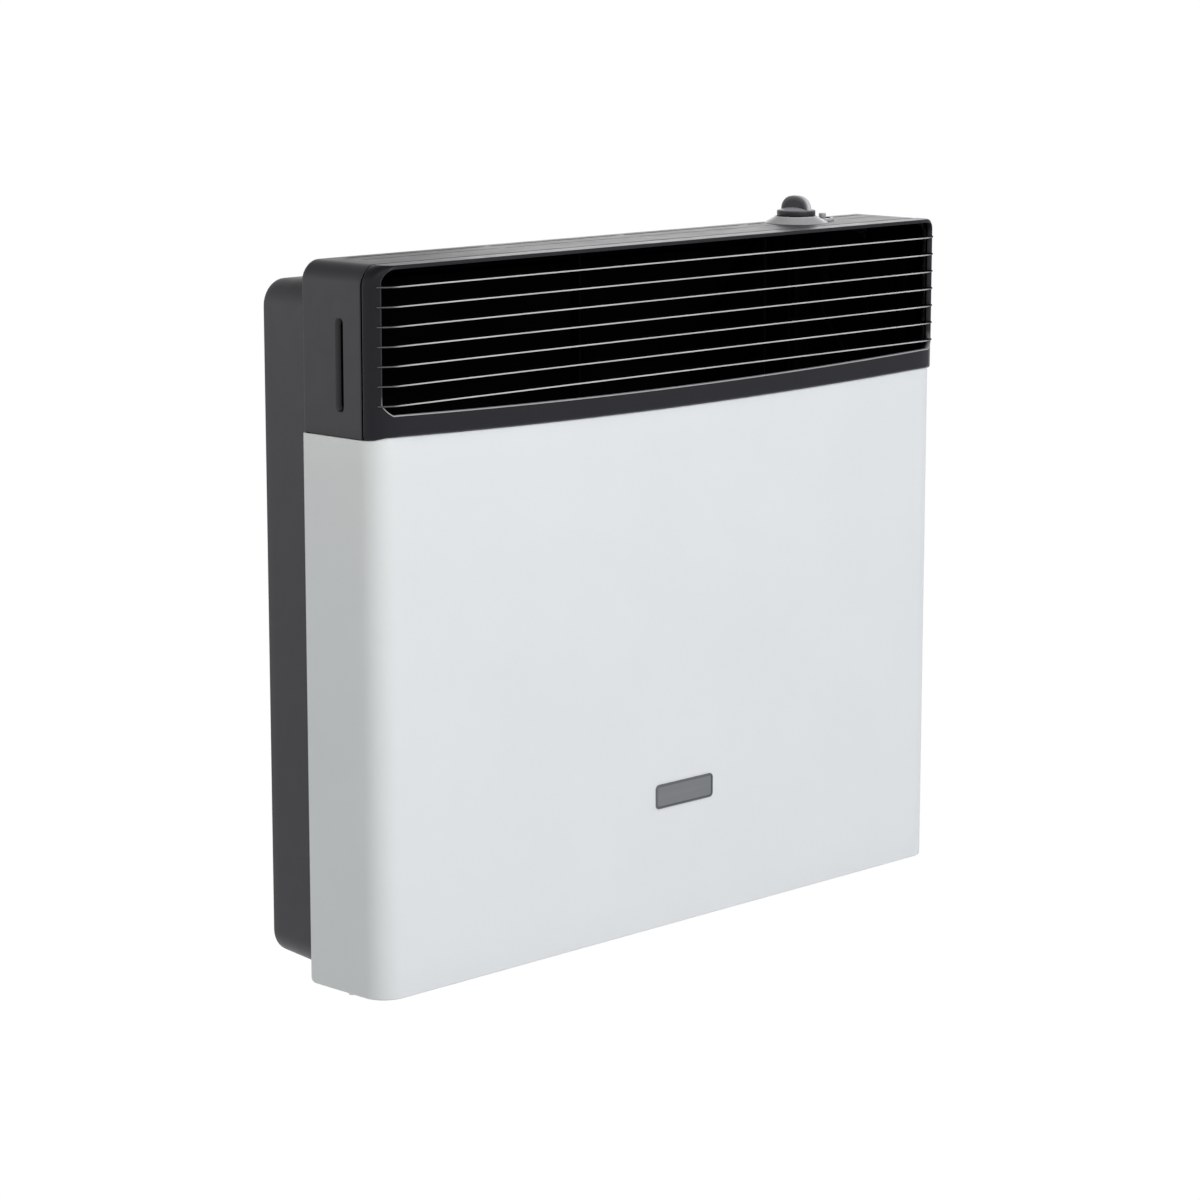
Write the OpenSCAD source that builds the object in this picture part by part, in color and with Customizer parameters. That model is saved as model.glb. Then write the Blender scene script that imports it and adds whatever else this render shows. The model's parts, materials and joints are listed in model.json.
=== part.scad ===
// Wall mounted gas heater with a balanced flue, a louvred warm air outlet and a top control knob.
// Millimetres. The origin is the middle of the four wall screw holes, on the wall plane.
// +X is to the right as seen from the room, +Y goes into the wall and +Z is up.

/* [Casing] */
// Width over the casing sides
casing_w = 695; // [660:1:800]
// Height of the casing
casing_h = 600; // [570:1:660]
// Depth of the casing, from its front face to its rear edge
casing_d = 90; // [86:1:110]
// Radius of the vertical front corners
corner_r = 22; // [18:1:24]
// Thickness of the casing sheet
sheet = 1.2; // [0.8:0.1:1.6]
// Width of the folded edges at the top and bottom of the front panel
fold_w = 12; // [9:1:14]
// Radius of the rear bottom corners of the front panel, seen from the side
heel_r = 6; // [2:1:12]
// Gap between two casing pieces that meet
joint_gap = 0.4; // [0.3:0.1:1]

/* [Dark cap] */
// Height of the dark cap above the front panel, at its ends
cap_h = 139.4; // [138:0.2:146]
// How far the cap stands in front of the front panel
cap_step = 3; // [0:0.1:4]
// How far the cap's lower edge sags at mid width
cap_dip = 5.6; // [2:0.2:8]
// Radius of the cap's upper corners, seen from the front
cap_r = 17; // [12:1:20]
// Radius along the cap's top front edge
brow_r = 5; // [3.5:0.5:7]
// Depth of the grille frame, from its front face to its seam with the hood
frame_d = 21; // [20:1:25]
// Wall of the grille frame
frame_t = 3; // [2.2:0.1:3.4]
// Height of the lower rail under the warm air opening
lower_rail = 19.5; // [14:0.5:20]
// Height of the upper rail over the warm air opening
upper_rail = 4.5; // [3.5:0.5:8]
// How far the opening's ends lie inside the casing sides
stile_w = 7.3; // [6:0.1:10]
// Radius of the opening's upper corners
opening_r = 12; // [6:1:16]
// Size of the slanted lower corners of the opening
opening_bevel = 10; // [5:1:12]

// Height of the pressed slot in each cheek
slot_h = 80; // [50:1:90]
// Width of the pressed slot
slot_w = 9; // [6:0.5:12]
// Depth of the pressed slot
slot_d = 4.5; // [3:0.5:6]
// Lower end of the pressed slot above the cheek's lower edge
slot_up = 18.4; // [14:0.1:28]
// Distance from the cap's front face to the pressed slot
slot_back = 42.5; // [39:0.5:49]

/* [Louvres] */
// Number of louvre blades
louvre_n = 7; // [7:1:7]
// Distance between two blades
louvre_pitch = 15.73; // [14:0.01:15.8]
// Top of the upper blade, below the casing top
louvre_top = 16.1; // [12:0.1:20]
// Thickness of a blade
louvre_t = 1.5; // [1:0.1:2.5]
// Depth of a blade
louvre_d = 12; // [10.5:0.5:13]
// How far a blade stands in front of the frame
louvre_proud = 1.3; // [0.8:0.1:2]
// Angle at which a blade ends on the corner, from the casing side
louvre_end = 35; // [28:1:40]
// Distance between the two ribs that hold the blades
rib_gap = 230; // [160:5:300]

/* [Rear pan] */
// Depth of the pan behind the casing
pan_d = 60; // [54:1:80]
// Length of the pan inside the casing
pan_lap = 12; // [8:1:13]
// How far the pan's sides lie inside the casing sides, at the casing's rear edge
pan_inset = 6; // [5.4:0.2:8]
// How far the pan's top lies below the casing top
pan_drop = 16; // [14:1:24]
// How far the pan's bottom lies above the casing bottom
pan_lift = 6; // [4:1:9]
// Corner radius of the pan at the wall
pan_r = 21.5; // [15:0.5:30]
// Sideways draft of the pan's walls over its depth behind the casing
pan_draft = 4.5; // [2:0.5:6]
// Distance between the wall screw holes along the width
wall_hole_w = 560; // [540:5:570]
// Distance between the wall screw holes along the height
wall_hole_h = 440; // [400:5:460]
// Radius of the wall screw holes
wall_hole_r = 4.5; // [3:0.5:6]

/* [Badge plate] */
// Width of the bare plate on the front
badge_w = 72; // [40:1:100]
// Height of the plate
badge_h = 21.5; // [12:0.5:40]
// Thickness of the plate
badge_t = 1.2; // [0.6:0.1:2]
// Corner radius of the plate
badge_r = 4; // [1:0.5:6]
// Middle of the plate to the right of the casing's middle
badge_x = 8.7; // [-100:0.1:100]
// Middle of the plate above the casing bottom
badge_up = 117.7; // [60:0.1:300]

/* [Controls] */
// Distance from the casing's right side to the knob's axis
knob_side = 130.5; // [120:0.5:135]
// Distance from the casing's front face to the knob's axis
knob_back = 60; // [52:1:60]
// Radius of the knob
knob_r = 17.4; // [14:0.1:19]
// Thickness of the knob's disc
knob_t = 5; // [3:0.5:8]
// Height of the knob's grip above the disc
grip_h = 15; // [8:0.5:16]
// Thickness of the grip
grip_t = 6; // [4:0.5:8]
// Gap between the knob and the rim of its seat at rest
knob_float = 0.5; // [0.3:0.1:1]
// Radius of the bezel's foot round the knob
bezel_r = 28.5; // [27:0.5:29]
// Thickness of the bezel's plate round the igniter
bezel_t = 2.5; // [2.4:0.1:3]
// Height of the knob's seat above the casing top
seat_h = 6; // [5:0.1:8]
// How far the knob is pressed down to light the pilot
knob_travel = 3; // [2:0.5:3]
// Distance from the knob's axis to the igniter button
igniter_gap = 36; // [32:1:40]
// Radius of the igniter button
button_r = 3.25; // [2.5:0.05:4]
// Height of the button above its collar
button_h = 4; // [3.8:0.1:5]
// Radius of the igniter's body
igniter_r = 7; // [6.5:0.1:8]
// Length of the igniter's body
igniter_len = 62; // [56:1:80]
// Radius of the control rod
rod_r = 3; // [2.5:0.1:3.5]

/* [Combustion chamber] */
// Distance from the casing's left side to the chamber
chamber_side = 97.5; // [80:0.5:120]
// Distance from the chamber's right side to the knob's axis
bay_w = 67; // [62:1:80]
// Height of the chamber
chamber_h = 360; // [330:5:370]
// Depth of the front half
chamber_front_d = 48; // [46:1:49]
// Depth of the rear half
chamber_rear_d = 40; // [36:1:42]
// Distance from the wall to the chamber's back
chamber_back = 34; // [30:1:36]
// Corner radius of the chamber
chamber_r = 25; // [10:1:40]
// Chamber sheet
chamber_t = 1.5; // [1:0.1:2]
// Width of the flange round the chamber halves
flange_w = 11; // [10:0.5:13]
// Thickness of the gaskets
gasket_t = 2; // [1:0.5:3]
// Middle of the chamber above the casing's middle
chamber_z = -50; // [-60:1:-40]

/* [Flue] */
// Outer radius of the exhaust duct behind the wall plane
exhaust_r = 37.5; // [30:0.5:45]
// Outer radius of the fresh air collar behind the wall plane
collar_r = 65; // [55:0.5:68]
// Wall of both ducts
duct_t = 1.5; // [1:0.1:2]
// Length of the exhaust duct behind the wall plane
exhaust_out = 40; // [20:1:80]
// Length of the fresh air collar behind the wall plane
collar_out = 25; // [15:1:60]
// Height of the flue's axis above the chamber's middle
flue_up = 90; // [70:1:100]

/* [Burner and gas] */
// Radius of the burner tube
burner_r = 15; // [12:0.5:16]
// Height of the burner's axis above the chamber's bottom
burner_up = 40; // [32:1:44]
// Distance from the chamber's left side to the burner tube
burner_left_gap = 40; // [20:1:70]
// Distance from the burner tube's mouth to the chamber's right side
burner_right_gap = 60; // [58:1:70]
// Number of flame slots along the burner
flame_slot_n = 34; // [20:1:34]
// Radius of the gas pipe to the burner
feed_r = 6; // [5:0.5:7]
// Radius of the gas inlet thread's bore
inlet_r = 9.3; // [7:0.1:11]
// Depth of the gas inlet thread
inlet_len = 14; // [10:1:18]
// Radius of the valve's turning plug
plug_r = 9; // [8:0.5:10]

/* [Hidden] */
$fn = 96;
louvre_nodes = [for (i = [1:louvre_n]) str("louvre_", i)];

cut = 1;            // how far a cutting shape runs past the face it opens
fit = 0.05;         // radial clearance of a shaft in its hole
slip = 0.15;        // clearance round a piece that is slipped into another
seat_gap = 0.3;     // clearance round a piece that passes through a sheet

// Main planes
front_y = -(casing_d + pan_d);
rear_y = -pan_d;
top_z = casing_h / 2;
bottom_z = -casing_h / 2;
half_w = casing_w / 2;
cap_z = top_z - cap_h;
cap_y = front_y - cap_step;
seam_y = cap_y + frame_d;
hood_rear_y = rear_y - 2;
arc_half = half_w - corner_r;
corner_y = cap_y + corner_r;
slot_low = cap_z + slot_up;
slot_y = cap_y + slot_back;

under_cap_z = cap_z - cap_dip - 6;

// Rear pan, at the wall plane and at the casing's rear edge
pan_slope = pan_draft / pan_d;
pan_w0 = casing_w - 2 * (pan_inset + pan_draft);
pan_h0 = casing_h - pan_drop - pan_lift - 2 * pan_draft;
pan_z = (pan_lift - pan_drop) / 2;
pan_depth = pan_d + pan_lap;
pan_half = half_w - pan_inset;
pan_top = top_z - pan_drop;
pan_bottom = bottom_z + pan_lift;

// Controls
knob_x = half_w - knob_side;
knob_y = front_y + knob_back;
knob_z = top_z + seat_h + knob_float;
stem_r = rod_r + 3.5;
stem_len = 14;
igniter_x = knob_x + igniter_gap;
collar_z = top_z + bezel_t;
lip_t = 1.2;
button_low = top_z - 14;
well_r = button_r + 1.75;
well_low = button_low - 20;
lead_y = knob_y - 30;

// Combustion chamber
chamber_back_y = -chamber_back;
chamber_mid_y = chamber_back_y - chamber_rear_d;
chamber_join_y = chamber_mid_y - gasket_t;
chamber_front_y = chamber_join_y - chamber_front_d;
chamber_right = knob_x - bay_w;
chamber_left = -half_w + chamber_side;
chamber_w = chamber_right - chamber_left;
chamber_x = (chamber_left + chamber_right) / 2;
chamber_bottom = chamber_z - chamber_h / 2;
chamber_top = chamber_z + chamber_h / 2;
flue_z = chamber_z + flue_up;
duct_step = 1;
exhaust_inner_r = exhaust_r + duct_step;
collar_inner_r = collar_r + duct_step;
screw_r = 2;
screw_head_r = 3.6;
screw_head_t = 2.2;

// Burner, pilot group and valve
burner_z = chamber_bottom + burner_up;
burner_y = knob_y;
burner_right = chamber_right - burner_right_gap;
burner_left = chamber_left + burner_left_gap;
burner_len = burner_right - burner_left;
mouth_r = burner_r + 4;
mouth_len = 16;
pilot_z = burner_z + burner_r + 15;
pilot_y = burner_y + 2;
thermo_y = pilot_y - 11;
spark_y = thermo_y - 11;
pilot_plate_x = chamber_right - 42;
service_t = 2;
service_gasket_t = 1.5;
service_x = chamber_right + service_gasket_t + service_t;
service_low = burner_z - 26;
service_high = pilot_z + 18;
service_front = spark_y - 12;
service_rear = chamber_join_y - chamber_t - screw_head_t - 0.5;
shield_x = service_x + 18;
valve_half_x = 18;
valve_half_y = 16;
valve_low = burner_z - 26;
valve_high = burner_z + 22;
bonnet_h = 30;
spring_low = valve_high;
cup_t = 2;
cup_top = valve_high + bonnet_h - 3 - seat_gap;
spindle_top = valve_high + bonnet_h + 20;
plug_h = 28;
plug_low = burner_z - plug_h / 2;
magnet_z = burner_z - 8;
blade_w = 5;
blade_t = 2.4;
blade_low = burner_z + 3;
glass_r = 22;
glass_x = chamber_right - 75;
glass_z = burner_z + 8;

// Gas inlet
inlet_x = knob_x + 68;
inlet_low = bottom_z + 9;
union_h = inlet_len + 14;

function boundary(x) = cap_z - cap_dip * max(0, 1 - pow(x / arc_half, 2));
function unit(v) = v / norm(v);

// ---- General shapes ----

// The drawn shape's X and Y become X and Z, and it runs along Y from y0 to y1
module along_y(y0, y1) {
    translate([0, y1, 0]) rotate([90, 0, 0]) linear_extrude(y1 - y0) children();
}

// The drawn shape's X and Y become Y and Z, and it runs along X from x0 to x1
module along_x(x0, x1) {
    translate([x0, 0, 0]) rotate([90, 0, 90]) linear_extrude(x1 - x0) children();
}

module along_z(z0, z1) {
    translate([0, 0, z0]) linear_extrude(z1 - z0) children();
}

// Box between two corners
module box(a, b) {
    translate(a) cube(b - a);
}

module bar_x(x0, x1, y, z, r) {
    translate([x0, y, z]) rotate([0, 90, 0]) cylinder(h = x1 - x0, r = r);
}

module bar_y(x, y0, y1, z, r) {
    translate([x, y1, z]) rotate([90, 0, 0]) cylinder(h = y1 - y0, r = r);
}

module bar_z(x, y, z0, z1, r) {
    translate([x, y, z0]) cylinder(h = z1 - z0, r = r);
}

module round_rect(w, h, r) {
    square([w - 2 * r, h], center = true);
    square([w, h - 2 * r], center = true);
    for (sx = [-1, 1], sy = [-1, 1])
        translate([sx * (w / 2 - r), sy * (h / 2 - r)]) circle(r);
}

module hexagon(r) {
    circle(r, $fn = 6);
}

// Corners of a wire's route, each rounded into a curve that starts and ends bend before it
function rounded_route(pts, bend) =
    [for (i = [0:len(pts) - 1]) each
        i == 0 || i == len(pts) - 1 ? [pts[i]]
        : let (a = pts[i] + bend * unit(pts[i - 1] - pts[i]),
               b = pts[i] + bend * unit(pts[i + 1] - pts[i]))
          [for (s = [0:0.25:1]) a * (1 - s) * (1 - s) + 2 * s * (1 - s) * pts[i] + b * s * s]];

// Direction of a route at point i
function heading(route, i) =
    unit(route[min(i + 1, len(route) - 1)] - route[max(i - 1, 0)]);

// Direction across a route at each point from i on, carried along without a twist
function carried(route, i, across) =
    i >= len(route) ? []
    : let (h = heading(route, i), flat = unit(across - (across * h) * h))
      concat([flat], carried(route, i + 1, flat));

// Wire with eight sides through points, with round corners
module wire(pts, r, bend) {
    sides = 8;
    route = rounded_route(pts, bend);
    last = len(route) - 1;
    across = carried(route, 0, cross(heading(route, 0), [0.6, 0.64, 0.48]));
    points = [for (i = [0:last], k = [0:sides - 1]) let (b = 360 * k / sides)
        route[i] + r * (cos(b) * across[i] + sin(b) * cross(heading(route, i), across[i]))];
    faces = [for (i = [0:last - 1], k = [0:sides - 1])
        let (a = i * sides + k, b = i * sides + (k + 1) % sides)
        [a, a + sides, b + sides, b]];
    start_face = [for (k = [0:sides - 1]) k];
    end_face = [for (k = [sides - 1:-1:0]) last * sides + k];
    polyhedron(points, concat(faces, [start_face, end_face]));
}

// Round wire coiled about the Z axis, from z0 to z1
module coil_spring(coil_r, wire_r, z0, z1, turns) {
    sides = 6;
    steps = 16;
    n = turns * steps;
    points = [for (i = [0:n], k = [0:sides - 1])
        let (a = 360 * i / steps, b = 360 * k / sides, out = coil_r + wire_r * cos(b))
        [out * cos(a), out * sin(a),
         z0 + wire_r + (z1 - z0 - 2 * wire_r) * i / n + wire_r * sin(b)]];
    sides_faces = [for (i = [0:n - 1], k = [0:sides - 1])
        let (a = i * sides + k, b = i * sides + (k + 1) % sides)
        [a, b, b + sides, a + sides]];
    first = [for (k = [sides - 1:-1:0]) k];
    last = [for (k = [0:sides - 1]) n * sides + k];
    polyhedron(points, concat(sides_faces, [first, last]));
}

// ---- Casing ----

// Plan of the casing drawn in by inset, with its round front corners, from a front face to y1
module casing_plan(face_y, inset, y1) {
    w = casing_w - 2 * inset;
    r = corner_r - inset;
    y0 = face_y + inset;
    translate([-w / 2 + r, y0]) square([w - 2 * r, y1 - y0]);
    translate([-w / 2, y0 + r]) square([w, y1 - y0 - r]);
    for (s = [-1, 1]) translate([s * (w / 2 - r), y0 + r]) circle(r);
}

// Line that follows the cap's lower edge, lifted by up, closed at height z
module edge_outline(up, z) {
    n = 32;
    polygon(concat(
        [[-casing_w, boundary(casing_w) + up]],
        [for (i = [0:n]) let (x = arc_half * (2 * i / n - 1)) [x, boundary(x) + up]],
        [[casing_w, boundary(casing_w) + up], [casing_w, z], [-casing_w, z]]));
}

// Front view of the cap drawn in by inset, with its round upper corners, down to z0
module cap_front(inset, z0) {
    w = casing_w - 2 * inset;
    r = cap_r - inset;
    z1 = top_z - inset;
    translate([-w / 2 + r, z0]) square([w - 2 * r, z1 - z0]);
    translate([-w / 2, z0]) square([w, z1 - z0 - r]);
    for (s = [-1, 1]) translate([s * (w / 2 - r), z1 - r]) circle(r);
}

// Side view of the casing drawn in by inset, with its round top front edge
module brow_side(inset) {
    y0 = cap_y + inset;
    z1 = top_z - inset;
    r = max(brow_r - inset, 0.5);
    translate([y0 + r, bottom_z]) square([casing_d, z1 - bottom_z]);
    translate([y0, bottom_z]) square([casing_d, z1 - bottom_z - r]);
    translate([y0 + r, z1 - r]) circle(r);
}

module panel_block(inset) {
    intersection() {
        along_z(bottom_z + inset, top_z) casing_plan(front_y, inset, rear_y - inset);
        along_y(front_y - cut, rear_y + cut) edge_outline(-inset, bottom_z - cut);
    }
}

// White sheet front with its two sides, folded in at the top, the bottom and the rear
module front_panel() {
    color("whitesmoke") difference() {
        panel_block(0);
        panel_block(sheet);
        along_z(bottom_z - cut, top_z) casing_plan(front_y, fold_w, rear_y + cut);
        box([-pan_half - joint_gap, rear_y - sheet - cut, bottom_z - cut],
            [pan_half + joint_gap, rear_y + cut, top_z]);
        along_x(-half_w - cut, half_w + cut) difference() {
            translate([rear_y - heel_r, bottom_z - cut]) square([heel_r + cut, heel_r + cut]);
            translate([rear_y - heel_r, bottom_z + heel_r]) circle(heel_r);
        }
        pan_notch(cap_z - sheet - cut, cap_z + cut);
        cap_screw_places() bar_z(0, 0, cap_z - 5, cap_z + cut, screw_r + slip);
        base_screw_places() bar_z(0, 0, bottom_z - cut, bottom_z + sheet + cut, screw_r + slip);
    }
}

module badge_plate() {
    color("darkgray") translate([badge_x, 0, bottom_z + badge_up])
        along_y(front_y - badge_t, front_y) round_rect(badge_w, badge_h, badge_r);
}

// Dark sheet cap: two cheeks and the slotted top, folded down behind and in below
module top_hood() {
    low = cap_z + joint_gap;
    color("dimgray") difference() {
        union() {
            difference() {
                along_y(seam_y, hood_rear_y) cap_front(0, low);
                along_y(seam_y - cut, hood_rear_y - sheet) cap_front(sheet, low + sheet);
                along_y(hood_rear_y - sheet - cut, rear_y + cut) rear_opening();
                box([-half_w + fold_w, seam_y - cut, low - cut],
                    [half_w - fold_w, rear_y + cut, low + 2 * sheet]);
            }
            slot_backing();
            mirror([1, 0, 0]) slot_backing();
        }
        cheek_slot();
        mirror([1, 0, 0]) cheek_slot();
        top_slots();
        bar_z(knob_x, knob_y, top_z - 5, top_z + cut, stem_r + 1.5);
        bar_z(igniter_x, knob_y, top_z - 5, top_z + cut, igniter_r + seat_gap);
        pan_notch(cap_z, cap_z + joint_gap + sheet + cut);
        cap_screw_places() bar_z(0, 0, cap_z - cut, cap_z + 5, screw_r + slip);
    }
}

// Space that the pan's sides take out of the casing's folds between two heights
module pan_notch(z0, z1) {
    x1 = half_w - sheet;
    for (s = [-1, 1]) translate([s * (x1 - fold_w / 2), 0, 0])
        box([-fold_w / 2, -pan_depth - seat_gap, z0], [fold_w / 2, rear_y - sheet, z1]);
}

// Front view of the space that the pan takes in the hood's rear fold
module rear_opening() {
    r = pan_r + pan_draft;
    w = 2 * (pan_half + joint_gap);
    top = pan_top + joint_gap;
    translate([-w / 2 + r, 0]) square([w - 2 * r, top]);
    translate([-w / 2, 0]) square([w, top - r]);
    for (s = [-1, 1]) translate([s * (w / 2 - r), top - r]) circle(r);
}

// Groove pressed into a cheek: a sharp front edge and a slanted rear side
module cheek_slot() {
    along_z(slot_low, slot_low + slot_h)
        polygon([[half_w + cut, slot_y], [half_w - slot_d, slot_y],
                 [half_w - slot_d, slot_y + 2.5], [half_w, slot_y + slot_w],
                 [half_w + cut, slot_y + slot_w]]);
}

// Sheet pushed inwards round the groove
module slot_backing() {
    along_z(slot_low - 1, slot_low + slot_h + 1)
        polygon([[half_w - sheet / 2, slot_y - 1], [half_w - slot_d - 1, slot_y - 1],
                 [half_w - slot_d - 1, slot_y + 3], [half_w - sheet / 2, slot_y + slot_w + 1]]);
}

// Long fine slots in the top, left out round the controls
module top_slots() {
    rows = 2;
    columns = 4;
    gap_w = 1.2;
    first_y = hood_rear_y - 14;
    pitch = 20;
    bridge = 14;
    margin = 34;
    first_x = -half_w + margin;
    slot_len = (casing_w - 2 * margin - (columns - 1) * bridge) / columns;
    for (row = [0:rows - 1], column = [0:columns - 1]) {
        x = first_x + column * (slot_len + bridge);
        y = first_y - row * pitch;
        difference() {
            along_z(top_z - sheet - cut, top_z + cut) translate([x + slot_len / 2, y])
                round_rect(slot_len, gap_w, gap_w / 2 - 0.01);
            box([knob_x - bezel_r - 4, knob_y - bezel_r - 4, top_z - 4],
                [igniter_x + igniter_r + 8, knob_y + bezel_r + 4, top_z + 4]);
        }
    }
}

module frame_solid(inset, y1) {
    intersection() {
        along_z(bottom_z, top_z + cut) casing_plan(cap_y, inset, y1);
        along_y(cap_y - cut, y1) cap_front(inset, cap_z - cap_dip - cut);
        along_y(cap_y - cut, y1) edge_outline(joint_gap + inset, top_z + cut);
        along_x(-half_w - cut, half_w + cut) brow_side(inset);
    }
}

// Warm air opening drawn out by grow, seen from the front
module air_opening(grow) {
    n = 32;
    x1 = half_w - stile_w + grow;
    z1 = top_z - upper_rail + grow;
    lip = lower_rail - grow;
    flat = x1 - opening_bevel;
    difference() {
        polygon(concat(
            [[-x1, boundary(x1) + lip + opening_bevel]],
            [for (i = [0:n]) let (x = flat * (2 * i / n - 1)) [x, boundary(x) + lip]],
            [[x1, boundary(x1) + lip + opening_bevel], [x1, z1], [-x1, z1]]));
        for (s = [-1, 1]) difference() {
            translate([s * (x1 - opening_r / 2 + cut / 2), z1 - opening_r / 2 + cut / 2])
                square(opening_r + cut, center = true);
            translate([s * (x1 - opening_r), z1 - opening_r]) circle(opening_r);
        }
    }
}

// Sector in front of the two corner centres, up to the angle at which a blade ends
module blade_sector(angle) {
    reach = 60;
    x = arc_half + reach * cos(angle);
    y = corner_y - reach * sin(angle);
    polygon([[-x, y], [-arc_half, corner_y], [arc_half, corner_y], [x, y],
             [x, cap_y - reach], [-x, cap_y - reach]]);
}

function blade_z(i) = top_z - louvre_top - (i - 1) * louvre_pitch;

// Blade number i, grown by clearance c
module blade(i, c) {
    along_z(blade_z(i) - louvre_t - c, blade_z(i) + c) intersection() {
        difference() {
            casing_plan(cap_y, -louvre_proud - c, rear_y);
            casing_plan(cap_y, louvre_d - louvre_proud + c, rear_y + cut);
        }
        blade_sector(louvre_end - c * 3);
    }
}

// Dark frame that wraps the front corners and holds the blades
module grille_frame() {
    tongue = sheet + slip;
    color("#2b2c30") difference() {
        union() {
            frame_solid(0, seam_y - joint_gap / 2);
            frame_solid(tongue, seam_y + 7);
        }
        frame_solid(frame_t, seam_y + 8);
        along_y(cap_y - cut, seam_y - 4) air_opening(0);
        along_y(cap_y - cut, cap_y + 0.8) air_opening(1);
        for (i = [1:louvre_n]) blade(i, slip);
    }
}

module louvre(i) {
    color("#707276") blade(i, 0);
}

// Slotted rib behind the blades, between the frame's lower and upper walls
module louvre_rib(side) {
    t = 2;
    x = side * rib_gap / 2;
    color("#1c1d20") difference() {
        intersection() {
            box([x - t / 2, cap_y + 8, cap_z - cap_dip], [x + t / 2, seam_y - 2, top_z]);
            frame_solid(frame_t, seam_y);
        }
        for (i = [1:louvre_n]) blade(i, fit);
    }
}

// Places of the screws that hold the hood's lower folds on the front panel
module cap_screw_places() {
    for (sx = [-1, 1], y = [seam_y + 16, rear_y - pan_lap - 9])
        translate([sx * (half_w - sheet - fold_w / 2), y, 0]) children();
}

// Places of the screws that hold the front panel on its two lower brackets
module base_screw_places() {
    for (sx = [-1, 1]) translate([sx * (half_w - sheet - fold_w / 2), front_y + 45, 0]) children();
}

// Screw with its head below, from z0 up to z1
module small_screw(z0, z1) {
    bar_z(0, 0, z0, z1, screw_r);
    bar_z(0, 0, z0 - screw_head_t, z0, screw_head_r);
}

module casing_screws() {
    color("silver") {
        cap_screw_places() small_screw(cap_z - sheet, cap_z + joint_gap + sheet + 3);
        base_screw_places() small_screw(bottom_z, bottom_z + 2 * sheet + 4);
    }
}

// ---- Rear pan and its brackets ----

// Round-cornered block that widens from the plane y = 0 towards the room
module drafted_block(w, h, r, depth) {
    out = pan_slope * depth;
    along_z(-h / 2 + r, h / 2 - r)
        polygon([[-w / 2, 0], [w / 2, 0], [w / 2 + out, -depth], [-w / 2 - out, -depth]]);
    along_x(-w / 2 + r, w / 2 - r)
        polygon([[0, -h / 2], [0, h / 2], [-depth, h / 2 + out], [-depth, -h / 2 - out]]);
    for (sx = [-1, 1], sz = [-1, 1])
        translate([sx * (w / 2 - r), 0, sz * (h / 2 - r)]) rotate([90, 0, 0])
            cylinder(h = depth, r1 = r, r2 = r + out);
}

module rear_pan() {
    inner = sheet * (1 - pan_slope);
    color("#404145") difference() {
        translate([0, 0, pan_z]) drafted_block(pan_w0, pan_h0, pan_r, pan_depth);
        translate([0, -sheet, pan_z])
            drafted_block(pan_w0 - 2 * inner, pan_h0 - 2 * inner, pan_r - inner, pan_depth);
        for (sx = [-1, 1], sz = [-1, 1])
            bar_y(sx * wall_hole_w / 2, -sheet - cut, cut, sz * wall_hole_h / 2, wall_hole_r);
        bar_y(chamber_x, -sheet - cut, cut, flue_z, collar_inner_r + seat_gap);
        pan_air_slots();
    }
}

// Room air slots in the pan's lower wall
module pan_air_slots() {
    n = 9;
    slot_len = 44;
    for (i = [0:n - 1])
        translate([(i - (n - 1) / 2) * (slot_len + 20), 0, 0])
            box([-slot_len / 2, -pan_d + 14, pan_bottom - 6], [slot_len / 2, -pan_d + 22, pan_bottom + 12]);
}

// Stepped bracket from the pan's lower wall down to the front panel's bottom fold
module casing_bracket() {
    x0 = half_w - 48;
    tab_w = 15.5;
    low = bottom_z + sheet;
    high = pan_bottom + sheet + 0.2;
    step_y = -pan_depth - seat_gap;
    difference() {
        union() {
            box([x0, front_y + 38, low], [half_w - sheet - seat_gap, step_y, low + sheet]);
            box([x0, step_y - sheet, low], [x0 + tab_w, step_y, high + sheet]);
            box([x0, step_y - sheet, high], [x0 + tab_w, rear_y - 2, high + sheet]);
        }
        translate([half_w - sheet - fold_w / 2, front_y + 45, 0])
            bar_z(0, 0, low - cut, low + sheet + cut, screw_r + slip);
    }
}

module casing_brackets() {
    color("gray") {
        casing_bracket();
        mirror([1, 0, 0]) casing_bracket();
    }
}

// Vertical channel that carries the chamber on the pan
module chamber_rail(side) {
    half = 15;
    foot = 11;
    t = 1.5;
    x = chamber_x + side * chamber_w * 3 / 8;
    near = -sheet - t;
    translate([x, 0, 0]) along_z(chamber_bottom + 30, chamber_top - 30)
        polygon([[-half - foot, -sheet], [-half - foot, near], [-half, near],
                 [-half, chamber_back_y], [half, chamber_back_y], [half, near],
                 [half + foot, near], [half + foot, -sheet], [half - t, -sheet],
                 [half - t, chamber_back_y + t], [-half + t, chamber_back_y + t],
                 [-half + t, -sheet]]);
}

module chamber_rails() {
    color("slategray") for (side = [-1, 1]) chamber_rail(side);
}

// Bent sheet over the chamber that turns the warm air to the louvres
module heat_deflector() {
    t = 1.2;
    foot_z = chamber_top + 44;
    lip_y = rear_y - 5;
    lip_z = pan_top - 5;
    x0 = chamber_left - chamber_side * 3 / 4;
    color("#55565a") along_x(x0, shield_x - seat_gap)
        polygon([[-sheet, foot_z - 14], [-sheet, foot_z + t], [lip_y, lip_z + t],
                 [lip_y - 8, lip_z + t], [lip_y - 8, lip_z], [lip_y, lip_z],
                 [-sheet - t, foot_z], [-sheet - t, foot_z - 14]]);
}

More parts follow.
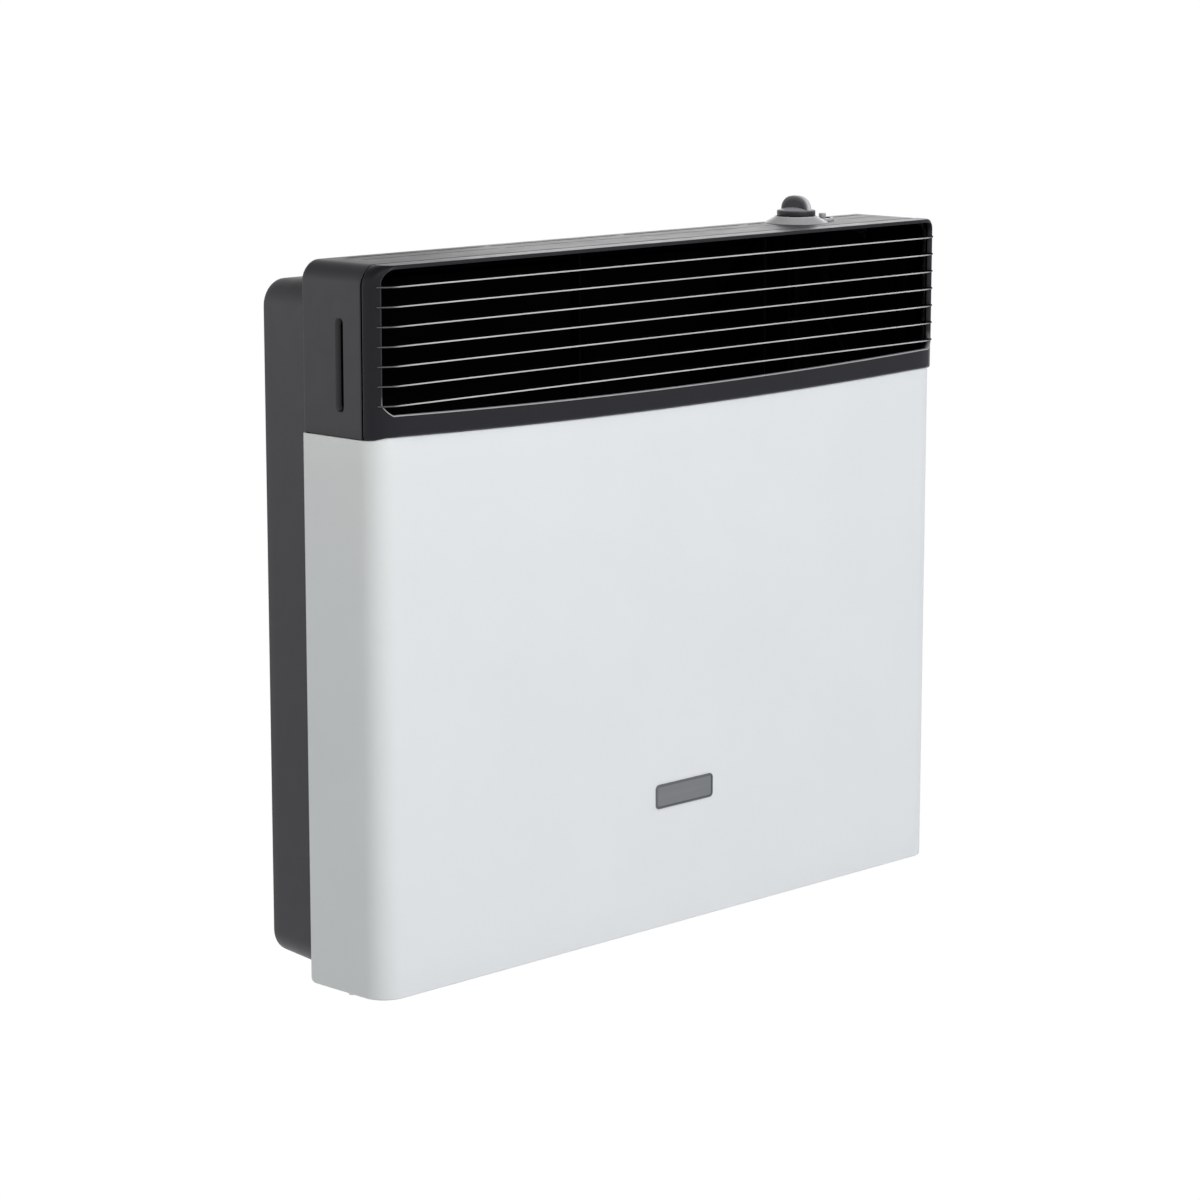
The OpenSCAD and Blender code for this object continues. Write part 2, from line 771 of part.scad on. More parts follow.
// Upright sheet between the chamber and the control bay, with a window for the pipes
module bay_shield() {
    t = 1.2;
    low = pan_bottom + 12;
    high = top_z - sheet - 4;
    color("#8c8f93") difference() {
        union() {
            box([shield_x, front_y + 14, low], [shield_x + t, -sheet, under_cap_z]);
            box([shield_x, seam_y + 10, low], [shield_x + t, -sheet, pan_top - 6]);
            box([shield_x, seam_y + 10, low], [shield_x + t, -pan_depth - 1, high]);
            box([shield_x, -sheet - t, low], [shield_x + 16, -sheet, pan_top - 12]);
        }
        box([shield_x - cut, service_front - 4, service_low - 3],
            [shield_x + t + cut, service_rear + 3, service_high + 3]);
    }
}

// ---- Combustion chamber ----

// Front view of the chamber grown by grow
module chamber_outline(grow) {
    translate([chamber_x, chamber_z])
        round_rect(chamber_w + 2 * grow, chamber_h + 2 * grow, chamber_r + grow);
}

// Places of the screws round the chamber's flange
module flange_screw_places() {
    across = 5;
    up = 4;
    w = chamber_w + flange_w;
    h = chamber_h + flange_w;
    for (i = [0:across - 1], sz = [-1, 1])
        translate([chamber_x + (i / (across - 1) - 0.5) * (w - 90), 0, chamber_z + sz * h / 2])
            children();
    for (i = [0:up - 1], sx = [-1, 1])
        translate([chamber_x + sx * w / 2, 0, chamber_z + (i / (up - 1) - 0.5) * (h - 90)])
            children();
}

module flange_screw_holes() {
    flange_screw_places()
        bar_y(0, chamber_join_y - 10, chamber_mid_y + 10, 0, screw_r + slip);
}

// Front half: pan, flange, pressed beads, window for the sight glass and service port
module chamber_front() {
    bead_n = 4;
    bead_len = chamber_w - 90;
    color("#6b6560") difference() {
        union() {
            along_y(chamber_front_y, chamber_join_y) chamber_outline(0);
            along_y(chamber_join_y - chamber_t, chamber_join_y) chamber_outline(flange_w);
            for (i = [0:bead_n - 1])
                bar_x(chamber_x - bead_len / 2, chamber_x + bead_len / 2,
                      chamber_front_y + 4, bead_z(i), 10);
        }
        along_y(chamber_front_y + chamber_t, chamber_join_y + cut) chamber_outline(-chamber_t);
        for (i = [0:bead_n - 1])
            bar_x(chamber_x - bead_len / 2 + chamber_t, chamber_x + bead_len / 2 - chamber_t,
                  chamber_front_y + 4, bead_z(i), 10 - chamber_t);
        bar_y(glass_x, chamber_front_y - cut, chamber_front_y + 5, glass_z, glass_r - 4);
        sight_screw_places() bar_y(0, chamber_front_y - cut, chamber_front_y + 5, 0, 1.5 + slip);
        box([chamber_right - 5, service_front + 6, service_low + 6],
            [chamber_right + 5, service_rear - 3, service_high - 6]);
        flange_screw_holes();
    }
}

function bead_z(i) = chamber_z - 70 + i * 60;

// Rear half: pan and flange, open to the fresh air collar
module chamber_rear() {
    color("#6b6560") difference() {
        union() {
            along_y(chamber_mid_y, chamber_back_y) chamber_outline(0);
            along_y(chamber_mid_y, chamber_mid_y + chamber_t) chamber_outline(flange_w);
        }
        along_y(chamber_mid_y - cut, chamber_back_y - chamber_t) chamber_outline(-chamber_t);
        bar_y(chamber_x, chamber_back_y - 5, chamber_back_y + 5, flue_z, collar_r - duct_t);
        flange_screw_holes();
    }
}

module chamber_gasket() {
    color("ivory") difference() {
        along_y(chamber_join_y, chamber_mid_y) chamber_outline(flange_w - 1);
        along_y(chamber_join_y - cut, chamber_mid_y + cut) chamber_outline(0);
        flange_screw_holes();
    }
}

module chamber_screws() {
    color("silver") flange_screw_places() {
        bar_y(0, chamber_join_y - chamber_t, chamber_mid_y + chamber_t + 5, 0, screw_r);
        bar_y(0, chamber_join_y - chamber_t - screw_head_t, chamber_join_y - chamber_t, 0,
              screw_head_r);
        difference() {
            along_y(chamber_mid_y + chamber_t, chamber_mid_y + chamber_t + 3) hexagon(4);
            bar_y(0, chamber_mid_y, chamber_mid_y + 10, 0, screw_r - 0.4);
        }
    }
}

// Plate inside the chamber that keeps the burnt gas in front of the fresh air
module divider_plate() {
    t = 1.2;
    y1 = chamber_mid_y + 10;
    gap = chamber_t + seat_gap;
    color("#7d766e") difference() {
        intersection() {
            along_y(y1 - t, y1) chamber_outline(-gap);
            box([chamber_left, y1 - 5, burner_z + 40], [chamber_right, y1 + 5, top_z]);
        }
        bar_y(chamber_x, y1 - 5, y1 + 5, flue_z, exhaust_inner_r + fit);
    }
}

module sight_screw_places() {
    for (s = [-1, 1]) translate([glass_x + s * (glass_r + 6), 0, glass_z]) children();
}

module sight_glass() {
    color("lightblue", 0.5)
        bar_y(glass_x, chamber_front_y - 3, chamber_front_y, glass_z, glass_r);
}

// Pressed ring that holds the sight glass, with its two screws' holes
module sight_glass_frame() {
    t = 1.2;
    seat = 3 + slip;
    y0 = chamber_front_y - seat - t;
    color("silver") difference() {
        union() {
            bar_y(glass_x, y0, chamber_front_y, glass_z, glass_r + slip + t);
            translate([glass_x, 0, glass_z]) along_y(chamber_front_y - t, chamber_front_y)
                round_rect(2 * glass_r + 24, 20, 8);
        }
        bar_y(glass_x, y0 + t, chamber_front_y + cut, glass_z, glass_r + slip);
        bar_y(glass_x, y0 - cut, chamber_front_y, glass_z, glass_r - 4);
        sight_screw_places() bar_y(0, y0 - cut, chamber_front_y + cut, 0, 1.5 + slip);
    }
}

// ---- Flue ----

// Straight duct along the flue's axis, with a small step down at the wall plane
module duct(y0, y1, r) {
    difference() {
        union() {
            bar_y(chamber_x, y0, 0, flue_z, r + duct_step);
            bar_y(chamber_x, y0, y1, flue_z, r);
            children();
        }
        bar_y(chamber_x, y0 - cut, y1 + cut, flue_z, r - duct_t);
    }
}

module exhaust_duct() {
    color("lightgray") duct(chamber_mid_y + 4, exhaust_out, exhaust_r);
}

// Fresh air collar with its flange on the chamber's back
module air_collar() {
    color("lightgray") duct(chamber_back_y, collar_out, collar_r)
        bar_y(chamber_x, chamber_back_y, chamber_back_y + 1.5, flue_z, collar_r + 9);
}

// ---- Burner and pilot group ----

// Slotted burner tube, closed at the left and with a flared mouth at the right
module burner_tube() {
    t = 1.5;
    pitch = (burner_len - 50) / flame_slot_n;
    color("#5a5350") difference() {
        union() {
            bar_x(burner_left, burner_right, burner_y, burner_z, burner_r);
            translate([burner_right - mouth_len, burner_y, burner_z]) rotate([0, 90, 0])
                cylinder(h = mouth_len, r1 = burner_r, r2 = mouth_r);
        }
        bar_x(burner_left + t, burner_right + cut, burner_y, burner_z, burner_r - t);
        translate([burner_right - mouth_len, burner_y, burner_z]) rotate([0, 90, 0])
            cylinder(h = mouth_len + 0.01, r1 = burner_r - t, r2 = mouth_r - t);
        for (i = [0:flame_slot_n - 1])
            box([burner_left + 20 + i * pitch, burner_y - 7, burner_z],
                [burner_left + 21.6 + i * pitch, burner_y + 7, burner_z + burner_r + cut]);
    }
}

// Saddle bracket under the burner, standing on the chamber's floor
module burner_bracket(x) {
    t = 1.5;
    floor_z = chamber_bottom + chamber_t;
    half = burner_r + 5;
    color("gray") difference() {
        union() {
            box([x - t / 2, burner_y - half, floor_z], [x + t / 2, burner_y + half, burner_z]);
            box([x - t / 2, burner_y - half, floor_z], [x + 12, burner_y + half, floor_z + t]);
        }
        bar_x(x - 5, x + 15, burner_y, burner_z, burner_r + fit);
    }
}

module injector() {
    x0 = burner_right + 2;
    color("goldenrod") difference() {
        union() {
            translate([x0, burner_y, burner_z]) rotate([0, 90, 0]) cylinder(h = 6, r1 = 2.5, r2 = 5);
            translate([x0 + 6, burner_y, burner_z]) rotate([0, 90, 0]) linear_extrude(8) hexagon(8);
        }
        bar_x(x0 - cut, x0 + 5, burner_y, burner_z, 0.8);
        bar_x(x0 + 4, x0 + 14 + cut, burner_y, burner_z, feed_r - 2);
    }
}

// Gas pipe from the valve through the service plate to the injector
module burner_feed_pipe() {
    x0 = burner_right + 16;
    x1 = knob_x - valve_half_x - 8;
    color("#b87333") difference() {
        bar_x(x0, x1, burner_y, burner_z, feed_r);
        bar_x(x0 - cut, x1 + cut, burner_y, burner_z, feed_r - 1);
    }
}

// Small hooded burner beside the main one
module pilot_burner() {
    x1 = pilot_plate_x - seat_gap;
    color("goldenrod") difference() {
        union() {
            bar_x(x1 - 14, x1, pilot_y, pilot_z, 4.5);
            box([x1 - 18, pilot_y - 4, pilot_z - 6], [x1 - 10, pilot_y + 4, pilot_z + 3]);
        }
        box([x1 - 17, pilot_y - 3, pilot_z - 7], [x1 - 11, pilot_y + 3, pilot_z + 2]);
        bar_x(x1 - 12, x1 + cut, pilot_y, pilot_z, 2 + fit);
    }
}

module pilot_tube() {
    start_x = pilot_plate_x - seat_gap - 11;
    step_x = service_x + 12;
    boss_z = burner_z + 16;
    color("silver") wire([[start_x, pilot_y, pilot_z], [step_x, pilot_y, pilot_z],
                          [step_x + 8, pilot_y, boss_z],
                          [knob_x - valve_half_x - 3, pilot_y, boss_z]], 2, 3);
}

// Probe in the pilot flame and its lead to the valve's flame guard
module thermocouple() {
    bend_x = service_x + 10;
    side_y = knob_y - valve_half_y - 14;
    color("#b87333") {
        bar_x(pilot_plate_x - 24, pilot_plate_x + 10, thermo_y, pilot_z, 2.5);
        wire([[pilot_plate_x, thermo_y, pilot_z], [bend_x, thermo_y, pilot_z],
              [bend_x + 8, side_y, pilot_z - 14], [knob_x, side_y, magnet_z],
              [knob_x, knob_y - valve_half_y - 4, magnet_z]], 1.3, 4);
    }
}

module electrode_insulator() {
    color("ivory") difference() {
        union() {
            bar_x(pilot_plate_x - 4, service_x + 14, spark_y, pilot_z, 3.5);
            bar_x(service_x, service_x + 3, spark_y, pilot_z, 6);
        }
        bar_x(pilot_plate_x - 4 - cut, service_x + 14 + cut, spark_y, pilot_z, 1 + fit);
    }
}

module electrode_pin() {
    color("silver") wire([[service_x + 20, spark_y, pilot_z], [pilot_plate_x - 14, spark_y, pilot_z],
                          [pilot_plate_x - 22, spark_y + 3.5, pilot_z - 3]], 1, 3);
}

// Plate that holds the pilot, the probe and the electrode, with an arm to the service plate
module pilot_bracket() {
    t = 1.5;
    x0 = pilot_plate_x;
    top = pilot_z + 11;
    color("gray") difference() {
        union() {
            box([x0, spark_y - 8, pilot_z - 9], [x0 + t, pilot_y + 8, top]);
            box([x0, spark_y - 4, top - t], [chamber_right + service_gasket_t, pilot_y + 4, top]);
        }
        bar_x(x0 - cut, x0 + t + cut, pilot_y, pilot_z, 2 + fit);
        bar_x(x0 - cut, x0 + t + cut, thermo_y, pilot_z, 2.5 + fit);
        bar_x(x0 - cut, x0 + t + cut, spark_y, pilot_z, 3.5 + fit);
    }
}

module service_outline() {
    translate([(service_front + service_rear) / 2, (service_low + service_high) / 2])
        square([service_rear - service_front, service_high - service_low], center = true);
}

// Plate that closes the chamber's port round the pipes
module service_plate() {
    x0 = chamber_right + service_gasket_t;
    color("gray") difference() {
        along_x(x0, service_x) service_outline();
        bar_x(x0 - cut, service_x + cut, burner_y, burner_z, feed_r + fit);
        bar_x(x0 - cut, service_x + cut, pilot_y, pilot_z, 2 + fit);
        bar_x(x0 - cut, service_x + cut, thermo_y, pilot_z, 1.3 + fit);
        bar_x(x0 - cut, service_x + cut, spark_y, pilot_z, 3.5 + fit);
    }
}

module service_gasket() {
    color("ivory") difference() {
        along_x(chamber_right, chamber_right + service_gasket_t) service_outline();
        box([chamber_right - cut, service_front + 6, service_low + 6],
            [service_x + cut, service_rear - 3, service_high - 6]);
    }
}

// ---- Gas valve and control ----

// Brass body with a tapered bore for the plug, open below for the cap
module valve_body() {
    color("goldenrod") difference() {
        union() {
            box([knob_x - valve_half_x, knob_y - valve_half_y, valve_low],
                [knob_x + valve_half_x, knob_y + valve_half_y, valve_high]);
            bar_x(knob_x - valve_half_x - 10, knob_x, burner_y, burner_z, 9);
            bar_x(knob_x, knob_x + valve_half_x + 10, burner_y, burner_z, 11);
            bar_x(knob_x - valve_half_x - 7, knob_x, pilot_y, burner_z + 16, 4);
            bar_y(knob_x, knob_y - valve_half_y - 8, knob_y, magnet_z, 6);
        }
        plug_space(fit);
        bar_z(knob_x, knob_y, valve_low - cut, plug_low, plug_r + 3);
        bar_z(knob_x, knob_y, burner_z, valve_high + cut, rod_r + fit);
        bar_x(knob_x - valve_half_x - 10 - cut, knob_x - valve_half_x - 2, burner_y, burner_z,
              feed_r + fit);
        bar_x(knob_x - valve_half_x - 3, knob_x, burner_y, burner_z, 4);
        bar_x(knob_x, knob_x + valve_half_x + 3, burner_y, burner_z, 4);
        bar_x(knob_x + valve_half_x + 2, knob_x + valve_half_x + 10 + cut, burner_y, burner_z,
              8 + fit);
        bar_x(knob_x - valve_half_x - 7 - cut, knob_x - valve_half_x - 2, pilot_y, burner_z + 16,
              2 + fit);
        bar_y(knob_x, knob_y - valve_half_y - 8 - cut, knob_y - valve_half_y - 3, magnet_z,
              1.3 + fit);
    }
}

// Tapered space of the plug, grown by clearance c
module plug_space(c) {
    translate([knob_x, knob_y, plug_low - c])
        cylinder(h = plug_h + 2 * c, r1 = plug_r + 1 + c, r2 = plug_r - 1 + c);
}

// Tapered plug with a cross port and a slot for the spindle's blade
module valve_plug() {
    color("darkgoldenrod") difference() {
        plug_space(0);
        bar_x(knob_x - 15, knob_x + 15, knob_y, burner_z, 3.5);
        box([knob_x - blade_w / 2 - fit, knob_y - blade_t / 2 - fit, burner_z - 1],
            [knob_x + blade_w / 2 + fit, knob_y + blade_t / 2 + fit, burner_z + plug_h / 2 + cut]);
    }
}

// Spindle with a flat blade in the plug, and a collar under the spring cup
module valve_spindle() {
    round_low = burner_z + plug_h / 2 + knob_travel + 0.6;
    color("silver") {
        bar_z(knob_x, knob_y, round_low, spindle_top, rod_r);
        box([knob_x - blade_w / 2, knob_y - blade_t / 2, blade_low],
            [knob_x + blade_w / 2, knob_y + blade_t / 2, round_low]);
    }
}

module spring_cup() {
    color("gray") difference() {
        bar_z(knob_x, knob_y, cup_top - cup_t, cup_top, 9);
        bar_z(knob_x, knob_y, cup_top - cup_t - cut, cup_top + cut, rod_r);
    }
}

module valve_spring() {
    color("silver") translate([knob_x, knob_y, 0])
        coil_spring(6.5, 0.6, spring_low, cup_top - cup_t, 6);
}

// Cap over the spring, with a flange on the valve body
module valve_bonnet() {
    color("goldenrod") difference() {
        union() {
            bar_z(knob_x, knob_y, valve_high, valve_high + bonnet_h, 13);
            bar_z(knob_x, knob_y, valve_high, valve_high + 3, 15.8);
        }
        bar_z(knob_x, knob_y, valve_high - cut, valve_high + bonnet_h - 3, 10);
        bar_z(knob_x, knob_y, valve_high, valve_high + bonnet_h + cut, rod_r + fit);
    }
}

module valve_cap() {
    color("darkgoldenrod") {
        bar_z(knob_x, knob_y, valve_low, plug_low - fit * 2, plug_r + 3 - fit);
        translate([knob_x, knob_y, valve_low - 5]) linear_extrude(5) hexagon(13.5);
    }
}

// Shelf on the bay shield that the valve stands on
module valve_bracket() {
    t = 1.5;
    x0 = shield_x + 1.2;
    x1 = knob_x + valve_half_x;
    color("gray") difference() {
        union() {
            box([x0, knob_y - 20, valve_low - t], [x1, knob_y + 20, valve_low]);
            box([x0, knob_y - 20, valve_low - 22], [x0 + t, knob_y + 20, valve_low]);
        }
        bar_z(knob_x, knob_y, valve_low - t - cut, valve_low + cut, 14.5);
    }
}

// Rod from the valve up to the knob, with a socket over the spindle
module control_rod() {
    socket_low = valve_high + bonnet_h + knob_travel + 1.5;
    color("silver") difference() {
        union() {
            bar_z(knob_x, knob_y, socket_low, spindle_top + 8, rod_r + 2.5);
            bar_z(knob_x, knob_y, spindle_top + 4, knob_z + knob_t - 2, rod_r);
        }
        bar_z(knob_x, knob_y, socket_low - cut, spindle_top, rod_r);
    }
}

// Bracket on the bay shield that steadies the rod below the hood
module rod_guide() {
    t = 1.5;
    x0 = shield_x + 1.2;
    z0 = pan_top - 70;
    color("gray") difference() {
        union() {
            box([x0, knob_y - 12, z0], [knob_x + 12, knob_y + 12, z0 + t]);
            box([x0, knob_y - 12, z0], [x0 + t, knob_y + 12, z0 + 18]);
        }
        bar_z(knob_x, knob_y, z0 - cut, z0 + t + cut, rod_r + fit);
    }
}

// Conical seat for the knob, with a plate that runs out to the igniter's collar
module control_bezel() {
    small_r = igniter_r + 3.5;
    neck = bezel_r - 6;
    seat_r = knob_r + 0.8;
    seat_wall = 1.4;
    seat_floor = collar_z - 0.5;
    color("#808389") difference() {
        union() {
            translate([knob_x, knob_y, top_z])
                cylinder(h = seat_h, r1 = bezel_r, r2 = seat_r + seat_wall);
            bar_z(igniter_x, knob_y, top_z, collar_z, small_r);
            along_z(top_z, collar_z)
                polygon([[knob_x, knob_y - neck], [igniter_x, knob_y - small_r + 0.5],
                         [igniter_x, knob_y + small_r - 0.5], [knob_x, knob_y + neck]]);
        }
        bar_z(knob_x, knob_y, seat_floor, top_z + seat_h + cut, seat_r);
        bar_z(knob_x, knob_y, top_z - cut, seat_floor + cut, stem_r + 1);
        bar_z(igniter_x, knob_y, top_z - cut, collar_z + cut, igniter_r + slip);
        bar_z(igniter_x, knob_y, top_z - cut, top_z + lip_t + slip, igniter_r + 1.5 + slip);
    }
}

// Disc knob with an upright half-round grip that points to the front
module control_knob() {
    disc_top = knob_z + knob_t;
    grip_r = knob_r - 0.9;
    sink = grip_r - grip_h;
    color("#3a3b40") difference() {
        union() {
            bar_z(knob_x, knob_y, knob_z, disc_top - 0.8, knob_r);
            translate([knob_x, knob_y, disc_top - 0.8])
                cylinder(h = 0.8, r1 = knob_r, r2 = knob_r - 0.8);
            bar_z(knob_x, knob_y, knob_z - stem_len + knob_t, knob_z + cut, stem_r);
            along_x(knob_x - grip_t / 2, knob_x + grip_t / 2) intersection() {
                translate([knob_y, disc_top - sink]) circle(grip_r);
                translate([knob_y - knob_r, knob_z + cut]) square([2 * knob_r, grip_h + knob_t]);
            }
        }
        bar_z(knob_x, knob_y, knob_z - stem_len, knob_z + knob_t - 2 + slip, rod_r);
    }
}

// ---- Igniter ----

// Push button with a flange that keeps it in its well
module igniter_button() {
    color("#d0d0d0") {
        bar_z(igniter_x, knob_y, button_low, collar_z + button_h, button_r);
        bar_z(igniter_x, knob_y, button_low, button_low + 2, button_r + 1.5);
    }
}

module igniter_spring() {
    color("silver") translate([igniter_x, knob_y, 0])
        coil_spring(button_r + 0.4, 0.4, well_low, button_low, 7);
}

// Spark igniter: body with a lip under the bezel, and a well for the button
module igniter_body() {
    color("#303236") difference() {
        union() {
            bar_z(igniter_x, knob_y, collar_z - igniter_len, collar_z, igniter_r);
            bar_z(igniter_x, knob_y, top_z, top_z + lip_t, igniter_r + 1.5);
        }
        bar_z(igniter_x, knob_y, well_low, collar_z + cut, button_r + fit);
        bar_z(igniter_x, knob_y, well_low, button_low + 2 + fit, well_r);
    }
}

module igniter_nut() {
    color("#303236") translate([igniter_x, knob_y, top_z - sheet - 5]) difference() {
        linear_extrude(5) hexagon(igniter_r + 5);
        translate([0, 0, -cut]) cylinder(h = 5 + 2 * cut, r = igniter_r + fit);
    }
}

// Insulated lead from the igniter down to the electrode
module ignition_lead() {
    lead_r = 2.2;
    top = collar_z - igniter_len;
    end_x = service_x + 15;
    color("firebrick") difference() {
        wire([[igniter_x, knob_y, top], [igniter_x, knob_y, top - 24],
              [igniter_x, lead_y, top - 60], [igniter_x, lead_y, pilot_z + 60],
              [knob_x - 10, spark_y, pilot_z + 30], [end_x + 14, spark_y, pilot_z],
              [end_x, spark_y, pilot_z]], lead_r, 6);
        bar_x(end_x - cut, end_x + 6, spark_y, pilot_z, 1 + fit);
    }
}

// ---- Gas inlet ----

// Solid of the inlet pipe: up from the union, round a bend and across to the valve
module inlet_run(r) {
    bend = 20;
    bar_z(inlet_x, burner_y, inlet_low + inlet_len + 4, burner_z - bend, r);
    bar_x(knob_x + valve_half_x + 3, inlet_x - bend, burner_y, burner_z, r);
    translate([inlet_x - bend, burner_y, burner_z - bend]) rotate([90, 0, 0])
        rotate_extrude(angle = 90) translate([bend, 0]) circle(r);
}

module inlet_pipe() {
    color("#b87333") difference() {
        inlet_run(8);
        inlet_run(6);
    }
}

// Hexagonal union with the thread for the supply pipe
module inlet_union() {
    color("goldenrod") translate([inlet_x, burner_y, inlet_low]) difference() {
        linear_extrude(union_h) hexagon(inlet_r + 6);
        translate([0, 0, -cut]) cylinder(h = inlet_len + cut, r = inlet_r);
        cylinder(h = inlet_len + 4, r = 6);
        translate([0, 0, inlet_len + 4]) cylinder(h = union_h, r = 8 + fit);
    }
}

rear_pan();
front_panel();
top_hood();
grille_frame();
for (i = [1:louvre_n]) louvre(i);
louvre_rib(-1);  // louvre_rib_left
louvre_rib(1);  // louvre_rib_right
badge_plate();
control_bezel();
control_knob();
control_rod();
rod_guide();
valve_spindle();
valve_plug();
spring_cup();
valve_spring();
valve_bonnet();
valve_body();
valve_cap();
valve_bracket();
igniter_button();
igniter_spring();
igniter_body();
igniter_nut();
ignition_lead();
electrode_insulator();
electrode_pin();
inlet_pipe();
inlet_union();
burner_feed_pipe();
injector();
burner_tube();
burner_bracket(burner_left + 30);  // burner_bracket_left
burner_bracket(burner_right - 45);  // burner_bracket_right
pilot_burner();
pilot_tube();
thermocouple();
pilot_bracket();
service_plate();
service_gasket();
chamber_front();
chamber_rear();
chamber_gasket();
sight_glass();
sight_glass_frame();
divider_plate();
exhaust_duct();
air_collar();
heat_deflector();
bay_shield();
chamber_rails();
chamber_screws();
casing_screws();
casing_brackets();
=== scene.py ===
"""Visual model of a wall mounted gas heater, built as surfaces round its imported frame.

Lengths are metres in the row frame: X to the right, +Y into the wall, Z up.
"""

import json
import math

import bmesh
import bpy
import numpy as np
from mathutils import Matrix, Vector
from mathutils.geometry import tessellate_polygon


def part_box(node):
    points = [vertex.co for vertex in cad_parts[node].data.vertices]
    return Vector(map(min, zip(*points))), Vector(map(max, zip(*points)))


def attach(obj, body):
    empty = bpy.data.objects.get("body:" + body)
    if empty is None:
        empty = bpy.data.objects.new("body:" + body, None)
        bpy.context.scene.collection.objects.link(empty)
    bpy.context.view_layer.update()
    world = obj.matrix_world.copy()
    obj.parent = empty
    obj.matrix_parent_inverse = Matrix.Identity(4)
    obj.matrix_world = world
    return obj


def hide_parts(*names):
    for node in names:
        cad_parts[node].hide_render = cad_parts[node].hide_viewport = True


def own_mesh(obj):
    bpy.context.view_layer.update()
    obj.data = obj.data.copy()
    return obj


bl_info = {
    "name": "Wall mounted gas heater",
    "version": (1, 0, 0),
    "blender": (4, 5, 0),
    "location": "View3D > Sidebar > Heater",
    "description": "Builds the visual model of a wall mounted gas heater round its frame",
    "category": "Object",
}

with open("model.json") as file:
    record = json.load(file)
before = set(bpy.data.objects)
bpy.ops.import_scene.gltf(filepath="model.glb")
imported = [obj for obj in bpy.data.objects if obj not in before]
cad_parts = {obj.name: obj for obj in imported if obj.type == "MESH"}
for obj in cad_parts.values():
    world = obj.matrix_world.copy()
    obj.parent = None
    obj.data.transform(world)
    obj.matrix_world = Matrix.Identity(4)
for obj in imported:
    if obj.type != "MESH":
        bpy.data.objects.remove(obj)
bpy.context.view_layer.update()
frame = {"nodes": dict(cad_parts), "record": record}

MM = 0.001
QUARTER = math.pi / 2

# Places that the frame's own pieces give
PANEL_LOW, PANEL_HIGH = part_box("front_panel")
GRILLE_LOW, GRILLE_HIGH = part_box("grille_frame")
HOOD_LOW, HOOD_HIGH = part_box("top_hood")
PAN_LOW, PAN_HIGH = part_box("rear_pan")
BADGE_LOW, BADGE_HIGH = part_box("badge_plate")
BEZEL_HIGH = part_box("control_bezel")[1]
KNOB_LOW, KNOB_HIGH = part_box("control_knob")
BUTTON_LOW, BUTTON_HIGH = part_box("igniter_button")
COLLAR_LOW, COLLAR_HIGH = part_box("air_collar")

HALF_W = PANEL_HIGH[0]
FACE_Y, REAR_Y = PANEL_LOW[1], PANEL_HIGH[1]
BOTTOM_Z = PANEL_LOW[2]
CAP_Y, CAP_Z = GRILLE_LOW[1], PANEL_HIGH[2]
TOP_Z = GRILLE_HIGH[2]
SEAM_Y, HOOD_REAR_Y = HOOD_LOW[1], HOOD_HIGH[1]
KNOB_X = (KNOB_LOW[0] + KNOB_HIGH[0]) / 2
KNOB_Y = (KNOB_LOW[1] + KNOB_HIGH[1]) / 2
KNOB_R = (KNOB_HIGH[0] - KNOB_LOW[0]) / 2
IGNITER_X = (BUTTON_LOW[0] + BUTTON_HIGH[0]) / 2

# The casing's outline: the front corners' radius in plan, and half the straight front between them
CORNER_R = 22 * MM
ARC_HALF = HALF_W - CORNER_R

# The cap's lower edge: its sag over the front, how much higher it runs there than over the sides,
# and the open joint under it
CAP_DIP, CAP_RISE, JOINT_GAP = 5.6 * MM, 2.6 * MM, 0.4 * MM

# Middle height and front edge of the groove in each cheek
GROOVE_Z, GROOVE_Y = CAP_Z + 58.4 * MM, CAP_Y + 42.5 * MM

# Half widths of the holes under the knob and the button, and the room that the slots leave them
STEM_HALF, WELL_HALF = 12 * MM, 7.4 * MM
KNOB_ROOM, IGNITER_ROOM = 32.5 * MM, 15 * MM

# The rear pan: slope of its walls, and its depth and corner radius at the casing
PAN_SLOPE, PAN_DEPTH, PAN_R = 4.5 / 60, 72 * MM, 26.9 * MM

# Openings in the pan's back plate: the wall screws' places and radius, and the flue's radius
SCREW_X, SCREW_Z, SCREW_R, FLUE_R = 280 * MM, 220 * MM, 4.5 * MM, 66.3 * MM

# The camera's place, and its tilt down and its turn to the right in degrees
CAMERA_PLACE = (-2.2473, -2.2720, 0.5589)
CAMERA_TILT, CAMERA_TURN = 10.45, 45.39

# Half the side of the floor
FLOOR_HALF = 60

# Points nearer to each other than this are one
MERGE = 2e-6

# Every finish that has been made, by name
MATERIALS = {}


# ---- Settings ----

def length(name, description, default):
    """A length property in metres."""
    return bpy.props.FloatProperty(name=name, description=description, default=default, min=0.0,
                                   precision=5, subtype="DISTANCE", unit="LENGTH")


def factor(name, description, default, **limits):
    """A property that is a plain number from 0 up."""
    return bpy.props.FloatProperty(name=name, description=description, default=default, min=0.0,
                                   subtype="FACTOR", **limits)


def paint(name, description, *default):
    """A colour property in linear red, green and blue."""
    return bpy.props.FloatVectorProperty(name=name, description=description, default=default,
                                         size=3, min=0.0, max=1.0, subtype="COLOR")


